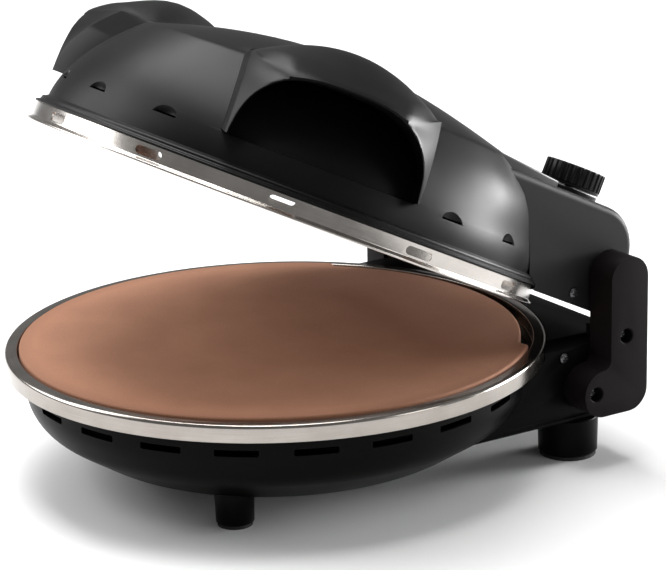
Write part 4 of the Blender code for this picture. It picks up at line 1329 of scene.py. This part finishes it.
    def flange(self) -> list[Point]:
        """Outer lip, groove and foot of the wall.

        Returns:
            Radius and height of its points.
        """
        lip, (low, high) = self.flange_radius, self.flange_edge
        rows = [(lip - low, self.bottom), (lip, self.bottom + low), (lip, self.foot - high)]
        return rows + [(lip - inwards, self.foot + rise) for inwards, rise in self.flange_groove]

    def cap(self, shares: Iterable[float]) -> list[Point]:
        """Points of the dome's top at shares of the ridge's radius."""
        return [(self.ridge_radius * share, self.crown_height(self.ridge_radius * share)) for share in shares]

    def column(self, offset: float | None) -> list[Point]:
        """Radius and height of one column of the shell from inner to outer pole.

        Args:
            offset: place across a hood, or None away from the hoods.

        Returns:
            The column's points, always the same number.
        """
        rows = self.inside() + self.flange()
        low = self.foot + self.outer_foot
        heights = [low + (self.sill - low) * step / self.wall_rows for step in range(self.wall_rows + 1)]
        rows += [(self.wall_radius(height), height) for height in heights]
        rows += self.plain() if offset is None else self.mouth(offset) + self.roof(offset)
        return rows + self.cap(self.cap_shares)

    def plain(self) -> list[Point]:
        """Wall and shoulder away from the hoods, spaced to match a hood's rows.

        Returns:
            Radius and height of its points.
        """
        count = self.mouth_rows
        heights = [self.sill + self.mouth_height * step / (count + 1) for step in range(1, count + 1)]
        first, (last, *drops) = self.sill + self.mouth_height, [self.ridge - drop for drop in self.ridge_drops]
        heights += [first + (last - first) * step / self.facet_rows for step in range(1, self.facet_rows + 1)]
        heights += drops
        count, (start, end) = self.roof_rows - 2, self.roof_shares
        return [(self.wall_radius(height), height) for height in heights] + self.cap(
            start + (end - start) * step / (count - 1) for step in range(count))

    def mouth(self, offset: float) -> list[Point]:
        """Pocket and front facet of a hood at an offset across it.

        Args:
            offset: place across the hood, from its middle.

        Returns:
            Radius and height of its points.
        """
        arch = self.arch_height(offset)
        share = min(1.0, abs(offset) / self.hood_half)
        depth = self.pocket * max(0.0, 1 - share ** 5) ** 0.5 + self.mouth_step
        rise, lift, count = arch - self.sill, self.mouth_lift, self.wall_rows
        edge = self.wall_radius(self.sill)
        lip = self.facet_radius(offset, arch)
        rows = [(edge - depth * step / 3, self.sill + self.mouth_step * step) for step in (1, 2, 3)]
        rows += [(self.wall_radius(self.sill + rise * step / count) - depth,
                  self.sill + lift + (rise - lift) * step / count) for step in range(1, count + 1)]
        rows += self.spaced(rows[-1], (lip, arch), self.soffit_rows)[1:] + [(lip, arch)]
        crease = self.crease_height(offset)
        for step in range(1, self.facet_rows + 1):
            height = arch + (crease - arch) * step / self.facet_rows
            rows.append((self.facet_radius(offset, height), height))
        return rows

    def roof(self, offset: float) -> list[Point]:
        """Roof of a hood from its crease to the dome's top at an offset across it.

        Args:
            offset: place across the hood, from its middle.

        Returns:
            Radius and height of its points.
        """
        first = self.facet_radius(offset, self.crease_height(offset))
        last = self.ridge_radius * self.roof_shares[1]
        shares = [(step / self.roof_rows) ** self.roof_power for step in range(1, self.roof_rows + 1)]
        radii = [first + (last - first) * share for share in shares]
        return [(radius, self.roof_height(offset, radius)) for radius in radii]

    def column_angle(self, zone: Zone, value: float, radius: float) -> float:
        """Angle of a column from the front at a radius, so that hood sides stay parallel.

        Args:
            zone: stretch that the column is in.
            value: its place in the stretch.
            radius: distance from the dome's axis.

        Returns:
            The angle.
        """
        reach = max(radius, self.root_radius)
        half = asin((self.hood_edge + self.hood_cheek) / reach)
        if zone is Zone.HOOD:
            return self.hood_azimuth + asin(value / reach)
        if zone is Zone.FRONT:
            return value * (self.hood_azimuth - half)
        start = self.hood_azimuth + half
        return start + value * (pi - start)

    def columns(self) -> list[tuple[Side, Zone, float]]:
        """Every column round the dome as side, zone and value, from the front round to the front.

        Returns:
            The columns in order.
        """
        front, hood, back = self.front_columns, self.hood_columns, self.back_columns
        one_side = [(Zone.FRONT, step / front) for step in range(1, front + 1)]
        one_side += [(Zone.HOOD, self.hood_edge * sin(pi / 2 * step / hood)) for step in range(-hood, hood + 1)]
        one_side += [(Zone.BACK, step / back) for step in range(back)]
        first = (Side.RIGHT, Zone.FRONT, 0.0)
        columns = [first] + [(Side.RIGHT, *column) for column in one_side] + [(Side.RIGHT, Zone.BACK, 1.0)]
        return columns + [(Side.LEFT, *column) for column in reversed(one_side)] + [first]

    def build(self) -> None:
        """Model the shell from a grid that is wrapped round the axis, then cut the louvres."""
        columns = self.columns()
        rows = [self.column(value if zone is Zone.HOOD else None) for _, zone, value in columns]
        across, along = len(columns) - 1, len(rows[0]) - 1
        first_outer = len(self.inside())
        Bench.clear()
        bpy.ops.mesh.primitive_grid_add(x_subdivisions=across, y_subdivisions=along, size=1.0)
        shell = Bench.take("dome_shell")
        for vertex in shell.data.vertices:
            number, row = round((vertex.co.x + 0.5) * across), round((vertex.co.y + 0.5) * along)
            radius, height = rows[number][row]
            side, zone, value = columns[number]
            angle = side.value * self.column_angle(zone, value, radius)
            if row >= first_outer:
                radius = self.swollen(angle, radius, height)
            vertex.co = (radius * sin(angle), -radius * cos(angle), height)
        Bench.mend(shell)
        Bench.cut(shell, self.scoop_tools())
        Bench.cut(shell, self.slit_tools())
        Bench.finish(shell, DATUM.lid(), Body.LID, Slot.BLACK_PLASTIC, self.finishes.lid_black, "lid_dome",
                     smooth=self.smooth)

    def louvre_places(self) -> list[Matrix]:
        """Where each louvre goes, leaning as the wall does.

        Returns:
            A matrix for each louvre.
        """
        middle = Matrix.Translation((0.0, -self.wall_radius(self.louvre_level), self.louvre_level))
        lean = Matrix.Rotation(self.louvre_lean, 4, "X")
        return [turned(radians(azimuth)) @ middle @ lean for azimuth in self.louvre_azimuths]

    def scoop_tools(self) -> Piece:
        """Half balls, flat below, that dent the wall above each louvre.

        Returns:
            The joined tools.
        """
        Bench.clear()
        segments, rings = self.scoop_steps
        bpy.ops.mesh.primitive_uv_sphere_add(segments=segments, ring_count=rings, radius=1.0)
        ball = Bench.take("scoop_tool")
        with Bench.editing(ball):
            bpy.ops.mesh.bisect(plane_co=(0, 0, 0), plane_no=(0, 0, 1), use_fill=True, clear_inner=True)
        Bench.mend(ball)
        ball.data.transform(Matrix.Diagonal((*self.scoop, 1.0)))
        ball.data.transform(Matrix.Translation((0.0, self.scoop_depth - self.scoop[1], 0.0)))
        return Bench.copies(ball, self.louvre_places())

    def slit_tools(self) -> Piece:
        """Narrow slots that open the foot of each louvre.

        Returns:
            The joined tools.
        """
        slot = Outline.slot(self.slit_length, self.slit_height, (0.0, self.slit_height / 2))
        tool = Bench.prism("slit_tool", slot, *self.slit_reach)
        slits = Bench.copies(tool, [place @ ALONG_Y for place in self.louvre_places()])
        Bench.mend(slits)
        return slits


@dataclass
class LidBand:
    """Steel band under the dome with slots and a rolled hem, modelled shut."""

    finishes: Finishes
    sheet: float = 0.001
    low: float = 0.086
    high: float = 0.0979
    lip_radius: float = 0.171
    hem_levels: tuple[float, float, float] = (0.0030, 0.0024, 0.0013)
    hem_step: float = 0.0008
    hem_rounds: tuple[float, ...] = (0.0006, 0.0004, 0.0005, 0.0005, 0.0003)
    slot_length: float = 0.019
    slot_height: float = 0.0054
    slot_level: float = 0.0930
    slot_first: float = radians(-3.4)
    slot_pitch: float = radians(30)
    slots_each_side: int = 4
    steps: int = 180

    def build(self) -> None:
        """Spin the band and cut its slots."""
        outer, lip, low = DATUM.band_radius, self.lip_radius, self.low
        inner = outer - self.sheet
        top, middle, bottom = (low + level for level in self.hem_levels)
        hem = [(outer, top), (outer + self.hem_step, middle), (lip, bottom), (lip, low), (inner, low)]
        profile = Outline.rounded([(inner, self.high), (outer, self.high)] + [
            (*corner, radius) for corner, radius in zip(hem, self.hem_rounds)], Outline.COARSE)
        band = Bench.lathe("steel_band", profile, self.steps)
        slot = Outline.slot(self.slot_length, self.slot_height, (0.0, self.slot_level))
        tool = Bench.prism("slot_tool", slot, -outer - Bench.OVERSHOOT, -outer + 2 * Bench.OVERSHOOT)
        turns = range(-self.slots_each_side, self.slots_each_side + 1)
        slots = Bench.copies(tool, [turned(self.slot_first + turn * self.slot_pitch) @ ALONG_Y for turn in turns])
        Bench.mend(slots)
        Bench.cut(band, slots)
        Bench.finish(band, DATUM.lid(), Body.LID, Slot.STEEL, self.finishes.band_steel, "lid_band")


@dataclass
class LidHousing:
    """Hinged housing behind the dome, its sloping panel, collar, screws and dial marks."""

    finishes: Finishes
    dome: LidDome
    half: float = 0.1179
    front: float = 0.066
    rear: float = 0.1905
    low: float = 0.0955
    top: float = 0.162
    low_round: float = 0.006
    top_round: float = 0.030
    side_round: float = 0.0048
    wall: float = 0.003
    pin_room: float = 0.00415
    pin_depth: float = 0.006
    seam: float = 0.0003
    screw: Point = (0.1543, 0.1027)
    screw_turn: float = 40.0
    panel_half: float = 0.1125
    panel_front: float = 0.060
    panel_rear: float = 0.116
    panel_front_top: float = 0.1692
    panel_rear_top: float = 0.1656
    panel_low: float = 0.1560
    panel_edge: float = 0.0012
    dome_room: float = 0.1185
    dome_room_levels: Point = (0.15, 0.18)
    collar_radius: float = 0.0190
    collar_low: float = 0.1570
    collar_high: float = 0.1646
    collar_draft: float = 0.0006
    collar_foot: float = 0.003
    shaft_room: float = 0.0036
    mark_inner: float = 0.0215
    mark_length: float = 0.0028
    mark_half: float = 0.0004
    mark_thick: float = 0.00008
    mark_lift: float = 0.00001
    mark_turns: Point = (20.0, 140.0)
    mark_growth: Point = (0.6, 0.5)
    marks: int = 9
    seam_levels: int = 16
    dome_steps: int = 180
    room_steps: int = 120
    collar_steps: int = 64
    bore_steps: int = 32
    round_steps: int = 8

    def build(self) -> None:
        """Build and dress every piece."""
        self.build_housing()
        self.build_panel()
        self.build_collar()
        for side in Side:
            Screw(self.finishes).build(f"lid_screw_{side.word}", side, self.screw, self.half, self.screw_turn, Body.LID)
        self.build_marks()
        Bench.dress(self.finishes.ceramic, "thermostat_body")

    def box(self, name: str, inset: float) -> Piece:
        """Box with its side edges rounded along the top and the rear.

        Args:
            name: the box's name.
            inset: how far every face is drawn in.

        Returns:
            The box.
        """
        half, front, rear = self.half - inset, self.front + inset, self.rear - inset
        low, top = self.low + inset, self.top - inset
        outline = Outline.rounded([(front, low), (rear, low, self.low_round - inset / 2),
                                   (rear, top, self.top_round - inset), (front, top)])
        box = Bench.prism(name, outline, -half, half)
        box.data.transform(ALONG_X)

        def on_side_edge(one: Vector, two: Vector) -> bool:
            """Whether an edge lies on a side face and on the top or the rear."""
            on_side = min(one.x * two.x, half * half) > (half - 0.0002) ** 2
            return on_side and min(one.z, two.z) > low + self.low_round - 0.001 and max(one.y, two.y) > front + 0.001

        Bench.round_edges(box, on_side_edge, self.side_round - inset, self.round_steps)
        return box

    def dome_space(self) -> Piece:
        """Tool that clears the dome and its flange from the housing.

        Returns:
            The tool.
        """
        dome, low = self.dome, self.low - 2 * Bench.OVERSHOOT
        count = self.seam_levels
        levels = [dome.sill + (dome.ridge - dome.sill) * step / count for step in range(count + 1)]
        profile = [(0.0, low), (dome.flange_radius + self.seam, low)]
        profile += [(radius + self.seam, height + self.seam) for radius, height in dome.flange()[2:]]
        profile += [(dome.wall_radius(height) + self.seam, height) for height in levels]
        return Bench.lathe("dome_space_tool", profile + [(0.0, levels[-1])], self.dome_steps)

    def build_housing(self) -> None:
        """Hollow housing, cleared round the dome and bored for the hinge pins."""
        housing = self.box("lid_rear_housing", 0.0)
        Bench.cut(housing, self.box("housing_hollow_tool", self.wall))
        Bench.cut(housing, self.dome_space())
        for side in Side:
            bore = Bench.lathe("bore_tool", Outline.disc(self.pin_room, self.half - self.pin_depth,
                                                         self.half + Bench.OVERSHOOT), self.bore_steps)
            bore.data.transform(sideways(side, (DATUM.hinge_y, DATUM.hinge_z)))
            Bench.cut(housing, bore)
        Bench.finish(housing, DATUM.lid(), Body.LID, Slot.BLACK_PLASTIC, self.finishes.lid_housing_black,
                     "lid_hinge_housing")

    def build_panel(self) -> None:
        """Wedge that slopes from the dome's shoulder to the rear, hollowed round the dome."""
        outline = [(self.panel_front, self.panel_low), (self.panel_rear, self.panel_low),
                   (self.panel_rear, self.panel_rear_top), (self.panel_front, self.panel_front_top)]
        panel = Bench.prism("panel_plate", outline, -self.panel_half, self.panel_half)
        panel.data.transform(ALONG_X)
        Bench.bevel(panel, self.panel_edge, Bench.CLEAR)
        room = Outline.disc(self.dome_room, *self.dome_room_levels)
        Bench.cut(panel, Bench.lathe("dome_room_tool", room, self.room_steps))
        Bench.finish(panel, DATUM.lid(), Body.LID, Slot.PANEL_PLASTIC, self.finishes.panel_black, "control_panel")

    def build_collar(self) -> None:
        """Low boss under the knob with a soft rim."""
        radius, low, high = self.collar_radius, self.collar_low, self.collar_high
        profile = Outline.rounded([
            (self.shaft_room, low), (radius + self.collar_draft, low), (radius, low + self.collar_foot),
            (radius, high, self.collar_draft), (self.shaft_room, high)], Outline.COARSE)
        collar = Bench.lathe("collar_ring", profile, self.collar_steps)
        collar.data.transform(Matrix.Translation((*DATUM.knob_place, 0.0)))
        Bench.finish(collar, DATUM.lid(), Body.LID, Slot.BLACK_PLASTIC, self.finishes.knob_black, "knob_collar")

    def build_marks(self) -> None:
        """Printed ring of dial marks that grow with the heat, laid beside the knob."""
        bar = Bench.prism("dial_marks", Outline.oblong(self.mark_half, 0.0, self.mark_length), 0.0, self.mark_thick)
        middle = Matrix.Translation((*DATUM.knob_place, self.top + self.mark_lift))
        out = Matrix.Translation((0.0, self.mark_inner, 0.0))
        (first, sweep), (least, growth) = self.mark_turns, self.mark_growth
        places = []
        for number in range(self.marks):
            angle = radians(first + sweep * number / (self.marks - 1))
            grow = Matrix.Diagonal((1.0, least + growth * number / (self.marks - 1), 1.0, 1.0))
            places.append(middle @ turned(angle) @ out @ grow)
        marks = Bench.copies(bar, places)
        Bench.finish(marks, DATUM.lid(), Body.LID, Slot.PANEL_PLASTIC, self.finishes.ink)


@dataclass
class ThermostatKnob:
    """Ribbed knob with a pointer, modelled shut."""

    finishes: Finishes
    low: float = 0.1658
    high: float = 0.1794
    radius: float = 0.0198
    rib: float = 0.0009
    ribs: int = 26
    rib_points: int = 5
    edge: float = 0.0008
    skirt: float = 0.0014
    skirt_lap: float = 0.0002
    skirt_inset: float = 0.0004
    skirt_round: float = 0.0003
    shaft_room: float = 0.0031
    dip: float = 0.0006
    dip_radii: Point = (0.0130, 0.0142)
    pointer: Point = (0.0060, 0.0011)
    pointer_reach: float = 0.0088
    pointer_thick: float = 0.0002
    pointer_turn: float = radians(45)
    steps: int = 72

    def build(self) -> None:
        """Build the knob and its pointer."""
        outline, count = [], self.rib_points * self.ribs
        for number in range(count):
            angle = 2 * pi * number / count
            radius = self.radius - (self.rib if number % self.rib_points > 1 else 0.0)
            outline.append((radius * cos(angle), radius * sin(angle)))
        knob = Bench.prism("ribbed_knob", outline, self.low + self.skirt, self.high)
        Bench.bevel(knob, self.edge, Bench.SHARP)
        rim, lap = self.radius - self.skirt_inset, self.low + self.skirt + self.skirt_lap
        skirt = Bench.lathe("knob_skirt", Outline.rounded([
            (self.shaft_room, self.low), (rim, self.low, self.skirt_round), (rim, lap), (self.shaft_room, lap)]),
            self.steps)
        floor, above, (narrow, wide) = self.high - self.dip, self.high + Bench.OVERSHOOT, self.dip_radii
        dip = [(0.0, floor), (narrow, floor), (wide, self.high + 0.0001), (wide, above), (0.0, above)]
        Bench.cut(knob, Bench.lathe("dip_tool", dip, self.steps))
        Bench.focus(knob)
        skirt.select_set(True)
        bpy.ops.object.join()
        move = DATUM.lid() @ Matrix.Translation((*DATUM.knob_place, 0.0))
        Bench.finish(knob, move, Body.KNOB, Slot.BLACK_PLASTIC, self.finishes.knob_black, "thermostat_knob")
        pointer = Bench.prism("knob_pointer", Outline.slot(*self.pointer, (0.0, 0.0)), floor,
                              floor + self.pointer_thick)
        pointer.data.transform(Matrix.Translation((-self.pointer_reach, 0.0, 0.0)))
        pointer.data.transform(turned(self.pointer_turn))
        Bench.finish(pointer, move, Body.KNOB, Slot.BLACK_PLASTIC, self.finishes.ink)
        Bench.dress(self.finishes.zinc, "thermostat_shaft")


@dataclass
class Studio:
    """Pale floor, soft lights and the camera of the photograph."""

    azimuth: float = radians(58.06)
    height: float = radians(16.51)
    roll: float = radians(-1.35)
    distance: float = 1.5172
    target: tuple[float, float, float] = (0.09846, -0.01646 - DATUM.middle_y, 0.145)
    sensor: float = 36.0
    lens: float = 36 * 2500 / 666
    floor_size: float = 60.0
    paper: Colour = (0.82, 0.82, 0.82)
    paper_rough: float = 0.9
    world_light: float = 0.24
    light_focus: float = 0.14

    def build(self) -> None:
        """Build the stage."""
        self.build_floor()
        self.build_lights()
        self.build_camera()

    def build_floor(self) -> None:
        """White sweep of paper under the oven."""
        Bench.clear()
        bpy.ops.mesh.primitive_plane_add(size=self.floor_size, location=(0.0, 0.0, 0.0))
        floor = Bench.take("studio_floor")
        shop = PaintShop("studio paper")
        shop.set(Base_Color=self.paper, Roughness=self.paper_rough)
        floor.data.materials.append(shop.material)

    def softbox(self, name: str, azimuth: float, height: float, away: float, size: Point, power: float,
                aim: float = 0.14, spread: float = 180.0) -> None:
        """Rectangular soft light aimed at the oven.

        Args:
            name: the light's name.
            azimuth: its bearing in degrees, as the camera's.
            height: its elevation in degrees.
            away: its distance.
            size: its width and height.
            power: its power in watts.
            aim: height of the point it faces.
            spread: width of its beam in degrees.
        """
        turn, rise = radians(azimuth), radians(height)
        way = Vector((sin(turn) * cos(rise), -cos(turn) * cos(rise), sin(rise)))
        light = bpy.data.lights.new(name, "AREA")
        light.shape = "RECTANGLE"
        light.size, light.size_y = size
        light.energy = power
        light.spread = radians(spread)
        lamp = bpy.data.objects.new(name, light)
        lamp.location = Vector((0.0, 0.0, self.light_focus)) + way * away
        facing = lamp.location - Vector((0.0, 0.0, aim))
        lamp.rotation_euler = facing.to_track_quat("Z", "Y").to_euler()
        bpy.context.scene.collection.objects.link(lamp)

    def build_lights(self) -> None:
        """World light and softboxes."""
        world = bpy.data.worlds.new("studio")
        bpy.context.scene.world = world
        world.use_nodes = True
        background = world.node_tree.nodes["Background"]
        background.inputs["Color"].default_value = (1.0, 1.0, 1.0, 1.0)
        background.inputs["Strength"].default_value = self.world_light
        self.softbox("overhead", azimuth=264, height=74, away=3.3, size=(1.7, 3.8), power=180)
        self.softbox("rear", azimuth=170, height=13, away=1.5, size=(1.1, 0.8), power=7.5, aim=0.40, spread=40)
        self.softbox("right", azimuth=116, height=15, away=1.6, size=(0.5, 0.6), power=3)
        self.softbox("left front", azimuth=-47, height=34, away=1.7, size=(1.1, 1.1), power=21)
        bpy.context.scene.view_settings.view_transform = "Standard"

    def build_camera(self) -> None:
        """Camera fitted to the photograph."""
        a, e, r = self.azimuth, self.height, self.roll
        back = Vector((sin(a) * cos(e), -cos(a) * cos(e), sin(e)))
        right = Vector((cos(a), sin(a), 0.0))
        up = Vector((-sin(a) * sin(e), cos(a) * sin(e), cos(e)))
        right, up = right * cos(r) + up * sin(r), up * cos(r) - right * sin(r)
        data = bpy.data.cameras.new("photo camera")
        data.lens = self.lens
        data.sensor_width = self.sensor
        camera = bpy.data.objects.new("photo camera", data)
        turn = Matrix((right, up, back)).transposed().to_4x4()
        camera.matrix_world = Matrix.Translation(Vector(self.target) + back * self.distance) @ turn
        bpy.context.scene.collection.objects.link(camera)
        bpy.context.scene.camera = camera


def main() -> None:
    """Build every sub-assembly in order."""
    logging.basicConfig(level=logging.INFO, format="%(message)s")
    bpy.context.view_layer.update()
    Studio().build()
    finishes = Finishes()
    BakingBase(finishes).build()
    HingeBase(finishes).build()
    dome = LidDome(finishes)
    dome.build()
    LidBand(finishes).build()
    LidHousing(finishes, dome).build()
    HeatSet(finishes, Level.UPPER, Body.LID).build()
    ThermostatKnob(finishes).build()


if __name__ == "__main__":
    main()
